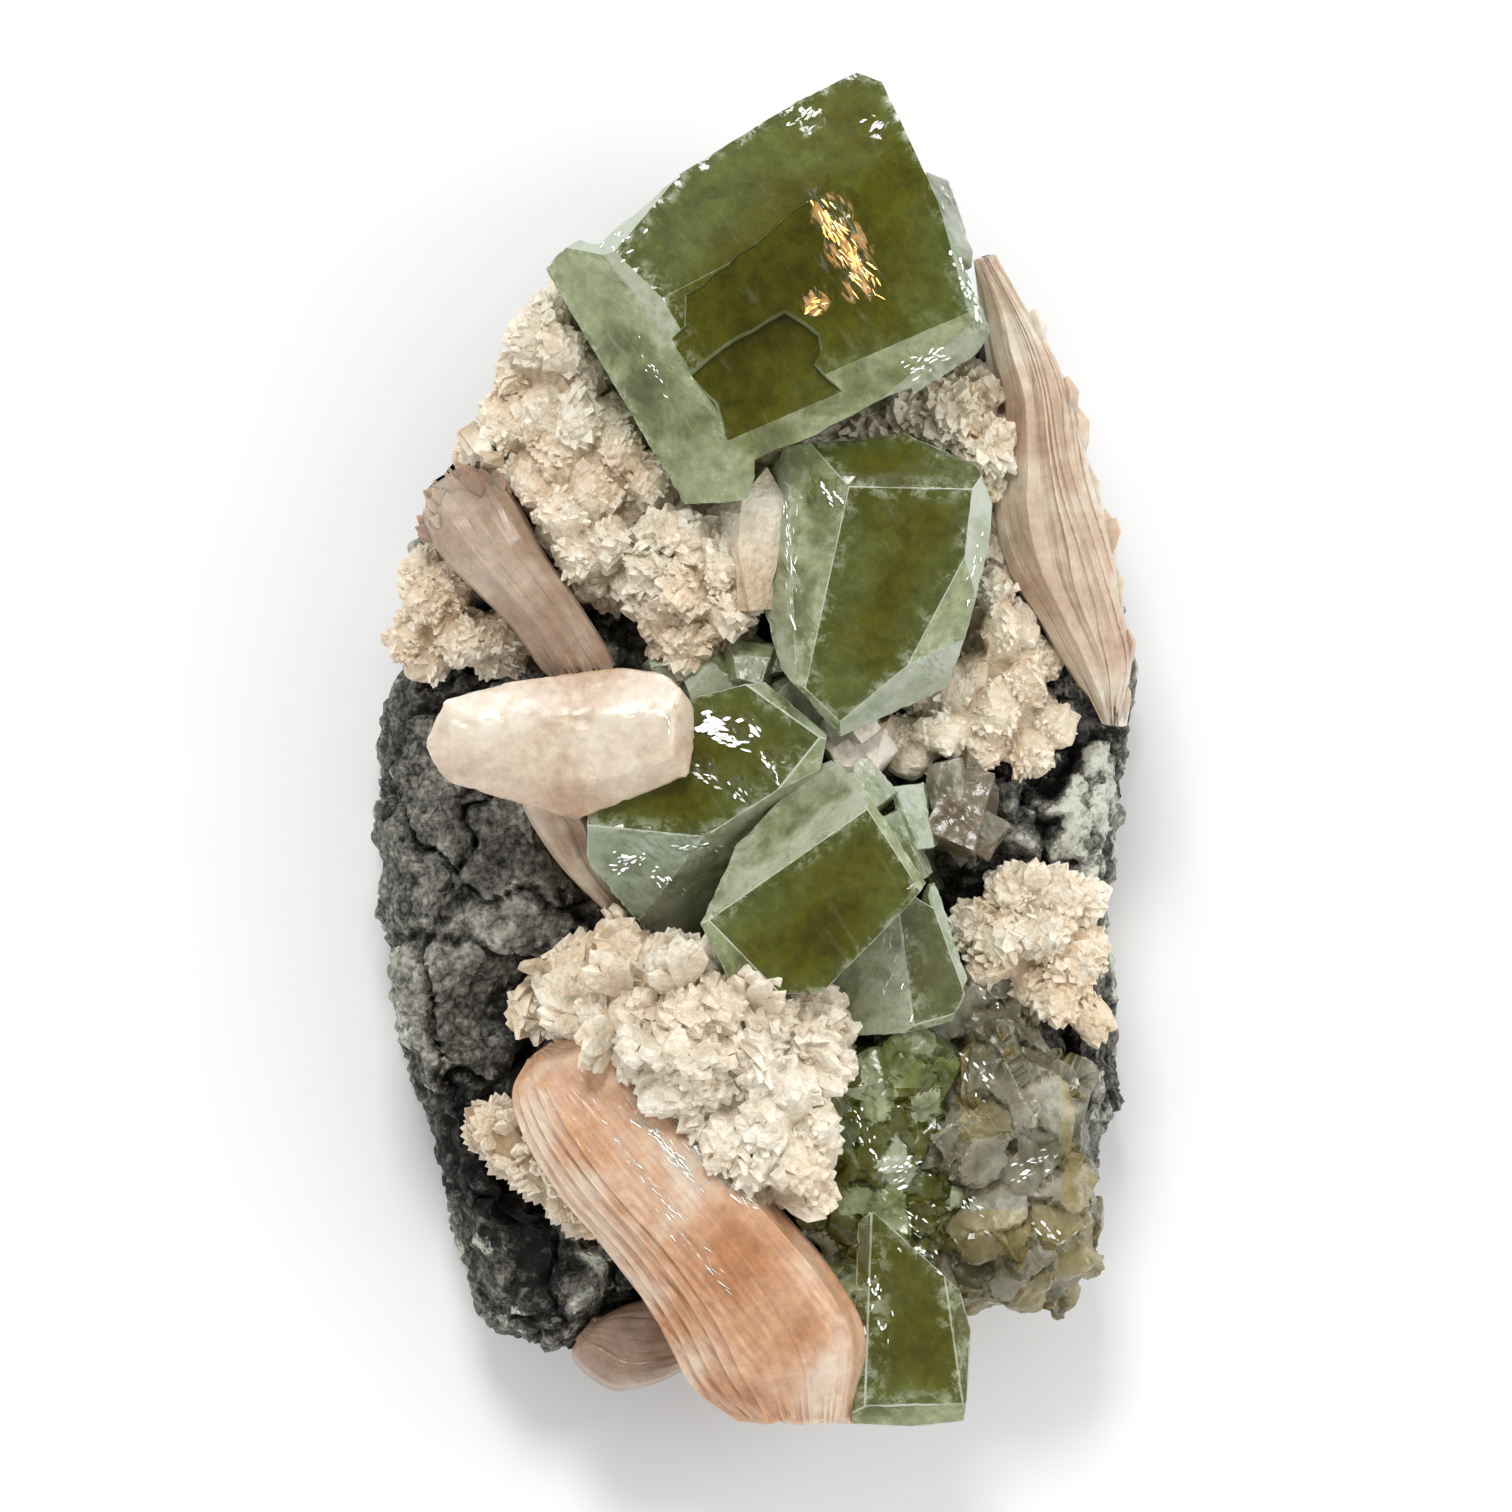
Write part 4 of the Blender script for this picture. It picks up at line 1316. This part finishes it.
sprayBlades = {
    # pointed blades at the edges of a sheaf: x, y, z, direction, length, fan shape
    "right_spray": [
        (22.0, 33.0, 26.0, (0.10, 1.0, 0.05), 6.6, 3), (24.2, 28.4, 25.4, (0.02, 1.0, 0.05), 6.0, 1),
        (25.6, 25.6, 24.8, (0.12, 1.0, 0.0), 5.4, 3), (26.4, 20.6, 24.0, (0.04, 1.0, 0.05), 6.6, 3),
        (27.8, 17.6, 23.0, (0.16, 1.0, 0.0), 5.0, 1), (28.4, 13.0, 22.2, (0.10, 1.0, 0.0), 5.4, 3),
        (29.2, 8.6, 21.4, (0.02, 1.0, 0.0), 4.6, 1), (29.4, 4.4, 20.8, (0.12, 1.0, 0.0), 3.6, 3),
        (28.8, 3.6, 20.2, (0.3, -0.9, 0.0), 2.6, 3), (19.6, 18.6, 24.0, (-0.5, 0.8, 0.1), 2.8, 1),
    ],
    "left_sheaf": [
        (-24.8, 20.0, 25.0, (-0.65, 0.7, 0.1), 4.2, 0), (-23.2, 21.6, 25.4, (-0.5, 0.85, 0.1), 4.0, 2),
        (-26.0, 18.4, 24.0, (-0.8, 0.5, 0.1), 3.4, 2), (-21.6, 21.8, 25.0, (-0.3, 0.9, 0.1), 3.4, 0),
    ],
    "edge_blade": [
        (-21.6, -29.6, 21.0, (-0.9, 0.4, 0.2), 3.8, 0), (-20.6, -31.4, 20.8, (-0.95, -0.1, 0.2), 3.8, 2),
        (-18.4, -33.6, 20.8, (-0.8, -0.6, 0.2), 4.0, 0), (-15.4, -36.0, 20.8, (-0.7, -0.7, 0.2), 3.8, 2),
        (-19.8, -29.4, 22.0, (-0.6, 0.4, 0.8), 3.6, 2), (-16.8, -33.2, 22.2, (-0.5, -0.3, 0.9), 3.8, 0),
        (-18.2, -31.2, 22.4, (-0.3, 0.1, 1.0), 3.8, 0), (-21.4, -30.6, 21.4, (-0.7, 0.1, 0.7), 3.6, 2),
        (-14.0, -36.4, 21.6, (-0.4, -0.5, 0.8), 3.6, 2), (-12.6, -37.8, 21.0, (-0.5, -0.8, 0.4), 3.6, 0),
        (-19.6, -32.6, 21.4, (-0.7, -0.4, 0.7), 3.6, 0), (-15.8, -34.6, 22.0, (-0.4, -0.3, 0.9), 3.6, 2),
        (-20.8, -28.6, 20.6, (-0.4, 0.9, 0.3), 3.6, 0), (-17.4, -29.4, 21.6, (0.1, 0.6, 0.9), 3.6, 2),
        (-22.4, -30.4, 18.2, (-0.95, -0.1, 0.2), 3.4, 0), (-20.4, -32.8, 18.0, (-0.8, -0.6, 0.1), 3.4, 2),
        (-17.6, -34.8, 18.0, (-0.6, -0.8, 0.1), 3.4, 0), (-14.4, -37.6, 18.4, (-0.6, -0.8, 0.1), 3.4, 2),
        (-21.6, -31.4, 16.4, (-0.9, -0.4, -0.1), 3.2, 2), (-18.8, -34.0, 16.2, (-0.7, -0.7, -0.1), 3.2, 0),
        (-15.8, -36.6, 16.4, (-0.6, -0.8, -0.1), 3.2, 2), (-22.2, -29.0, 17.0, (-0.8, 0.5, 0.0), 3.2, 0),
    ],
}


def makeStilbites(orange, tan, blush, cream, points):
    groups = [
        ("orange_sheaf", [orangeSheaf], orange, "orange_stilbite", "stilbite_orange_sheaf"),
        ("left_sheaf", [leftSheaf], tan, "orange_stilbite", "stilbite_left_sheaf"),
        ("right_spray", [rightSpray], blush, "orange_stilbite", "stilbite_right_spray"),
        ("cream_tablet", [tabletTail], cream, "cream_stilbite", "stilbite_cream_tablet"),
        ("edge_blade", [edgeBlade], points, "cream_stilbite", "stilbite_edge_blade"),
        ("foot_blade", [footBlade], tan, "cream_stilbite", "stilbite_foot_blade"),
    ]
    fans = [fanMesh(shape) for shape in fanShapes]
    for name, forms, material, slotName, node in groups:
        parts = [looseObject("part", growSheaf(form), [material]) for form in forms]
        for part in parts:
            shadeBy(part, 35)
        if name == "cream_tablet":
            tablet = crystalObject("part", creamTablet, [])
            tablet.data.polygons.foreach_set("material_index", [0] * len(tablet.data.polygons))
            parts.append(tablet)
        if name in sprayBlades:
            chance = random.Random(name)
            bm = bmesh.new()
            for x, y, z, direction, length, shape in sprayBlades[name]:
                addFan(bm, fans, shape, at(x, y, z), Vector(direction).normalized(), length * mm, 0.45,
                       chance.uniform(-0.5, 0.5))
            parts.append(looseObject("part", bm, [material]))
        made = joined(name, parts)
        if name in flakes:
            addFlakes(made, name)
        declare(made, slotName, node)
    print("stilbite done")


stilbiteLooks = {
    # colours, contrast of the streaks, and paler (+) or deeper (-) places: x, y, radius, strength
    "orange": {"deep": (0.44, 0.20, 0.085), "middle": (0.58, 0.33, 0.19), "pale": (0.72, 0.57, 0.44), "streaks": 0.20,
               "places": [(-15.0, -26.5, 7.0, 0.08), (-15.0, -35.0, 4.5, 0.34), (2.0, -46.0, 5.0, -0.14), (-8.6, -43.0, 3.6, 0.26),
                          (-1.0, -41.0, 6.0, -0.30), (-3.0, -36.0, 4.0, -0.10), (5.6, -50.0, 4.5, 0.22),
                          (-6.0, -32.0, 4.0, 0.12), (-18.0, -30.0, 4.0, 0.30), (-12.6, -39.4, 4.0, 0.30),
                          (-5.6, -49.0, 3.4, 0.24), (8.6, -46.0, 4.0, 0.20)]},
    "tan": {"deep": (0.22, 0.135, 0.085), "middle": (0.35, 0.235, 0.16), "pale": (0.50, 0.41, 0.32), "streaks": 0.16,
            "places": [(-25.0, 20.5, 3.6, 0.22), (-18.0, 12.0, 4.0, -0.06)]},
    "blush": {"deep": (0.42, 0.27, 0.185), "middle": (0.60, 0.465, 0.345), "pale": (0.72, 0.66, 0.55), "streaks": 0.20,
              "places": [(20.6, 34.0, 6.0, 0.20), (27.0, 17.0, 4.5, -0.22), (29.0, 9.0, 4.0, -0.18), (22.0, 22.0, 4.0, 0.10)]},
    "cream": {"deep": (0.44, 0.29, 0.18), "middle": (0.60, 0.49, 0.375), "pale": (0.72, 0.66, 0.55), "streaks": 0.12,
              "places": [(-20.0, 4.4, 6.0, 0.14), (-14.0, -4.4, 6.0, -0.30), (-8.0, 4.8, 5.0, 0.12),
                         (-18.0, -32.0, 8.0, 0.24)]},
}


def nearness(tree, where, x, y, radius):
    # 1 over a point of the specimen, falling to 0 at the radius
    flat = addNode(tree, "ShaderNodeVectorMath", {0: where, 1: (1, 1, 0)}, operation="MULTIPLY").outputs[0]
    spot = at(x, y, 0)
    away = addNode(tree, "ShaderNodeVectorMath", {0: flat, 1: (spot.x, spot.y, 0)}, operation="DISTANCE")
    made = addNode(tree, "ShaderNodeMapRange", {"Value": away.outputs["Value"], "From Min": radius * mm, "From Max": 0.0},
                   interpolation_type="SMOOTHSTEP")
    return made.outputs["Result"]


def makeStilbiteMaterial(name, look):
    material, tree, shader = startMaterial(name + " stilbite")
    where = objectPlace(tree)
    uv = addNode(tree, "ShaderNodeTexCoord").outputs["UV"]
    streaks = grain(tree, stretched(tree, uv, (60.0, 2.0, 1.0)), 1.0, 4.0, 0.65, 0.2)
    patches = grain(tree, where, 120.0, 4.0, 0.62, 0.3)
    tone = turned(tree, streaks, look["streaks"], turned(tree, patches, 1.1, -0.05 - look["streaks"] / 2))
    for x, y, radius, strength in look["places"]:
        tone = turned(tree, nearness(tree, where, x, y, radius), strength, tone)
    colour = ramp(tree, tone, [(0.25, look["deep"]), (0.78, look["pale"]), (0.5, look["middle"])])
    mottled = grain(tree, where, 900.0, 4.0, 0.7)
    colour = mixed(tree, 0.5, colour, ramp(tree, mottled, [(0.3, (0.3, 0.3, 0.3)), (0.7, (0.72, 0.72, 0.72))]), "OVERLAY")
    fibres = threshold(tree, grain(tree, stretched(tree, uv, (240.0, 5.0, 1.0)), 1.0, 4.0, 0.6), 0.62, 0.74)
    colour = mixed(tree, product(tree, fibres, 0.45), colour, (0.88, 0.80, 0.72))
    tree.links.new(colour, shader.inputs["Base Color"])
    shader.inputs["Roughness"].default_value = 0.34
    shader.inputs["Coat Weight"].default_value = 0.35
    shader.inputs["Coat Roughness"].default_value = 0.14
    shader.inputs["Subsurface Weight"].default_value = 0.45
    shader.inputs["Subsurface Radius"].default_value = (1.0, 0.6, 0.35)
    shader.inputs["Subsurface Scale"].default_value = 0.0012
    lines = grain(tree, stretched(tree, uv, (300.0, 5.0, 1.0)), 1.0, 4.0, 0.6)
    bumped(tree, shader, mixed(tree, 0.35, lines, mottled), 0.45, 0.22 * mm)
    return material


# basalt and calcite

rock = {"voxel": 0.44, "lumps": 0.7, "plates": 1.5, "cracks": 1.6, "clods": 0.9, "grains": 0.85, "pits": 1.6}
pittedPlaces = [(24.0, -1.0, 9.0), (27.0, -10.0, 6.0), (24.6, -27.0, 6.0), (-17.0, -41.0, 4.0), (-22.0, 24.0, 5.0), (14.4, -10.4, 3.0)]


calmPlaces = [(-9.6, -49.0, 7.0), (-18.0, -34.0, 4.0)]


def rockRise(spot):
    # how far a point of the broken rock stands out, in mm
    sway = noise.noise(spot * 0.35), noise.noise(spot * 0.35 + Vector((7, 7, 7)))
    wander = spot + Vector((sway[0], sway[1], 0)) * 2.4
    nearest, corners = noise.voronoi(Vector((wander.x / 8.0, wander.y / 11.0, wander.z / 9.0)))
    gap = nearest[1] - nearest[0]
    step = noise.noise(corners[0] * 3.3)
    rise = rock["lumps"] * noise.noise(spot / 4.4) + rock["plates"] * step
    rise -= rock["cracks"] * max(0.0, 1 - gap / 0.09)
    small = spot + Vector((noise.noise(spot * 0.8), noise.noise(spot * 0.8 + Vector((5, 5, 5))), 0))
    rise += rock["clods"] * (0.42 - noise.voronoi(small / 2.6)[0][0])
    rise += rock["grains"] * (0.42 - noise.voronoi(small / 1.3)[0][0])
    pitted = sum(max(0.0, 1 - math.hypot(spot.x - x, spot.y - y) / reach) for x, y, reach in pittedPlaces)
    rise -= rock["pits"] * min(1.0, 2 * pitted) * max(0.0, noise.noise(spot / 2.2 + Vector((4, 1, 8))) * 2.2 - 0.15)
    calm = max(0.0, max(1 - math.hypot(spot.x - x, spot.y - y) / reach for x, y, reach in calmPlaces))
    return rise - 1.6 * min(1.0, 1.6 * calm)


def makeRock(material):
    bm = nodeCopy("basalt_block")
    piece = evened(looseObject("basalt", bm), rock["voxel"])
    bm = bmesh.new()
    bm.from_mesh(piece.data)
    bm.normal_update()
    raised = bm.verts.layers.float.new("raised")
    moves = []
    for vert in bm.verts:
        spot = (vert.co - shift) / mm
        rise = max(-2.4, min(1.5, rockRise(spot)))
        vert[raised] = max(0.0, min(1.0, 0.52 + 0.30 * rise))
        flat = min(1.0, max(0.0, (vert.co.z / mm - 0.2) / 1.5))
        moves.append(vert.normal * rise * flat * mm)
    for vert, move in zip(bm.verts, moves):
        vert.co += move
        vert.co.z = max(vert.co.z, 0.0)
    bm.to_mesh(piece.data)
    bm.free()
    piece.data.materials.append(material)
    shadeBy(piece, 40)
    declare(piece, "basalt", "basalt_block")
    print("rock done")


rockPlaces = {
    # x, y, radius, strength
    "chalk": [(-22.4, -40.2, 3.6, 0.9), (-20.0, -44.6, 3.0, 0.7), (-21.0, 22.6, 5.0, 0.9), (-12.4, -41.6, 4.6, 0.7),
              (24.0, -2.0, 9.0, 0.85), (27.4, -16.0, 6.0, 0.8), (20.0, -12.0, 4.0, 0.6), (27.0, -8.0, 6.0, 0.7), (-26.0, 12.0, 6.0, 0.8),
              (-16.6, 36.0, 4.0, 0.8), (-19.0, -20.0, 3.0, 0.6), (24.0, 5.0, 5.0, 0.8), (-15.0, -47.0, 3.0, 0.6)],
    "pale": [(-26.0, -6.0, 10.0, 0.6), (-21.6, -14.0, 7.0, 0.55), (-26.0, -18.0, 8.0, 0.6), (-25.0, 5.0, 7.0, 0.5),
             (-16.0, -10.0, 6.0, 0.45), (-17.0, 0.0, 6.0, 0.3), (24.0, -4.0, 8.0, 0.3)],
    "dark": [(-19.0, -21.0, 5.5, 0.8), (-23.0, -32.0, 6.0, 0.7), (24.6, -27.0, 6.0, 0.6), (-12.0, 12.0, 6.0, 0.6),
             (18.0, -12.0, 4.0, 0.5), (-17.0, -41.0, 3.0, 0.7)],
}


def makeRockMaterial():
    material, tree, shader = startMaterial("basalt")
    where = objectPlace(tree)
    raised = addNode(tree, "ShaderNodeAttribute", attribute_name="raised").outputs["Fac"]
    grains = addNode(tree, "ShaderNodeTexVoronoi", {"Vector": where, "Scale": 1150.0})
    ofGrain = addNode(tree, "ShaderNodeSeparateXYZ", {"Vector": grains.outputs["Color"]}).outputs["X"]
    fine = grain(tree, where, 2300.0, 5.0, 0.7)
    tone = turned(tree, raised, 0.80, turned(tree, fine, 1.2, -0.44))
    tone = turned(tree, ofGrain, 0.22, turned(tree, grains.outputs["Distance"], -0.30, tone))
    for x, y, radius, strength in rockPlaces["pale"]:
        tone = turned(tree, nearness(tree, where, x, y, radius), strength * 0.20, tone)
    for x, y, radius, strength in rockPlaces["dark"]:
        tone = turned(tree, nearness(tree, where, x, y, radius), strength * -0.40, tone)
    body = ramp(tree, tone, [(0.14, (0.007, 0.006, 0.005)), (0.88, (0.50, 0.485, 0.41)), (0.32, (0.030, 0.028, 0.024)),
                             (0.48, (0.12, 0.115, 0.096)), (0.66, (0.25, 0.245, 0.205))])
    chalk = turned(tree, grain(tree, where, 300.0, 6.0, 0.7, 0.4), 1.6, turned(tree, raised, 0.5, -1.22))
    for x, y, radius, strength in rockPlaces["chalk"]:
        chalk = turned(tree, nearness(tree, where, x, y, radius), strength * 0.30, chalk)
    chalky = ramp(tree, turned(tree, ofGrain, 0.24, turned(tree, fine, 1.2, -0.14)),
                  [(0.28, (0.07, 0.11, 0.075)), (0.60, (0.72, 0.72, 0.62)), (0.42, (0.40, 0.44, 0.34))])
    colour = mixed(tree, threshold(tree, chalk, 0.0, 0.10), body, chalky)
    tree.links.new(colour, shader.inputs["Base Color"])
    shader.inputs["Roughness"].default_value = 0.70
    shader.inputs["Specular IOR Level"].default_value = 0.35
    relief = turned(tree, grains.outputs["Distance"], -0.8, fine)
    bumped(tree, shader, relief, 0.9, 0.45 * mm)
    return material


# broken calcite: x, y, height over the piece below, width, length, height, turn where it matters, and its finish
cornerLumps = [
    ((17.6, -28.0, 0.0, 10.0, 9.0, 7.0, 20), "grey"), ((22.6, -29.0, -0.4, 8.4, 9.0, 7.0, -20), "grey"),
    ((17.6, -35.0, 0.0, 9.4, 9.4, 7.0, 8), "grey"), ((22.0, -35.6, -0.1, 9.4, 9.0, 7.0, 34), "honey"),
    ((19.2, -40.0, -0.2, 8.6, 7.0, 7.0, -14), "honey"), ((23.6, -38.6, -0.5, 7.4, 8.2, 7.0, 28), "honey"),
    ((16.2, -22.0, 0.8, 7.0, 8.4, 6.0, 24), "grey"), ((19.6, -20.6, 0.4, 6.4, 7.2, 5.4, -10), "grey"),
    ((17.4, -16.4, 0.5, 5.4, 6.4, 5.0, 40), "grey"), ((20.6, -25.0, 0.6, 6.2, 6.0, 5.0, 60), "grey"),
    ((24.8, -33.2, -0.2, 6.4, 7.0, 6.0, 12), "grey"), ((16.6, -31.4, 1.2, 5.0, 6.0, 3.4, 30), "grey"),
    ((22.8, -41.6, -0.8, 5.6, 4.6, 5.0, -24), "honey"),
]
steppedLumps = [
    ((8.2, 0.4, 0.6, 5.0, 6.2, 4.6, 38), "peach"), ((7.2, 1.8, 1.6, 3.6, 3.4, 3.0, 38), "peach"),
    ((9.4, -1.0, 1.2, 3.4, 3.0, 3.0, 38), "peach"), ((6.6, 0.6, 2.4, 2.0, 2.0, 2.0, 38), "peach"),
    ((8.6, 2.2, 2.2, 2.2, 1.8, 2.0, 38), "peach"), ((10.4, 0.6, 1.8, 2.4, 2.0, 2.4, 38), "peach"),
    ((8.0, -1.2, 2.0, 1.8, 2.2, 2.0, 38), "peach"), ((10.2, -2.4, 0.8, 2.0, 2.2, 2.2, 38), "peach"),
]
brownLumps = [
    ((16.8, -4.4, 0.4, 4.6, 6.6, 5.0, -24), "brown"), ((15.4, -2.2, 0.8, 3.4, 3.6, 4.0, 15), "grey"),
    ((18.2, -6.2, 0.2, 3.2, 3.6, 4.0, -30), "brown"), ((12.8, -7.6, 1.6, 2.6, 7.6, 4.4, 28), "veil"),
    ((14.6, -9.0, 0.8, 2.4, 5.0, 4.0, 12), "veil"),
]


def makeCalcites(materials):
    ground = [BVHTree.FromBMesh(nodeCopy(name)) for name in
              ("basalt_block", "calcite_corner", "calcite_stepped", "calcite_brown")]
    chance = random.Random(77)
    for name, node, body, rows in (("stepped_calcite", "calcite_stepped", "peach", steppedLumps),
                                   ("corner_calcite", "calcite_corner", "grey", cornerLumps),
                                   ("brown_calcite", "calcite_brown", "brown", brownLumps)):
        placed = []
        for (x, y, above, *rest), finish in rows:
            levels = [tree.ray_cast(at(x, y, 70), Vector((0, 0, -1)))[0] for tree in ground]
            level = max([place.z / mm for place in levels if place] + [10.0])
            placed.append(((x, y, level + above - rest[2] / 2 + 1.0, *rest), finish))
        if name == "corner_calcite":
            lumps = [nodeCopy(node)]
            for (x, y, z, a, b, c, *turn), finish in placed:
                lumps.append(chunk(chance, (x, y, z), (a, b, c), 6, finish, [finish], *turn)[0])
            parts = [shatteredMass(lumps, cornerMass, materials)]
            parts.append(lumpObject(chance, (24.1, -24.0, 17.6, 1.3, 1.1, 1.0, 20), "honey", ["honey"], materials))
        else:
            bm = nodeCopy(node)
            gridded(bm, wear["grid"])
            for face in bm.faces:
                face.material_index = zoneNames.index(body)
            weather(bm, [], [])
            parts = [looseObject("lump", bm, materials)]
            for row, finish in placed:
                others = [finish] if finish == "peach" else ["grey", finish, finish]
                parts.append(lumpObject(chance, row, finish, others, materials))
        made = keepUsed(joined(name, parts))
        if name in flakes:
            addFlakes(made, name)
        declare(made, "calcite", node)
    print("calcite done")


makeCamera()
makeStudio()
crystalMaterials = []
for name, look in zones.items():
    kind = "clear" if name == "clear" else "calcite" if name in calciteNames else "apophyllite"
    pale = chalkColour if kind == "calcite" else frostColour
    crystalMaterials.append(makeClear(kind + " " + name, look, absorptions[kind], pale))
makeCrystals(crystalMaterials)
print("crystals done")
crystalNodes = ["apophyllite_top_crystal", "apophyllite_upper_crystal", "apophyllite_middle_cluster",
                "apophyllite_lower_column", "stilbite_orange_sheaf", "stilbite_cream_tablet", "stilbite_left_sheaf",
                "stilbite_right_spray"]
crystalTrees = [BVHTree.FromBMesh(nodeCopy(name)) for name in crystalNodes]
druseMaterial = makeDruseMaterial()
makeDruse(druseMaterial, crystalTrees)
stilbiteMaterials = {name: makeStilbiteMaterial(name, look) for name, look in stilbiteLooks.items()}
makeStilbites(**stilbiteMaterials, points=druseMaterial)
makeRock(makeRockMaterial())
makeCalcites(crystalMaterials)
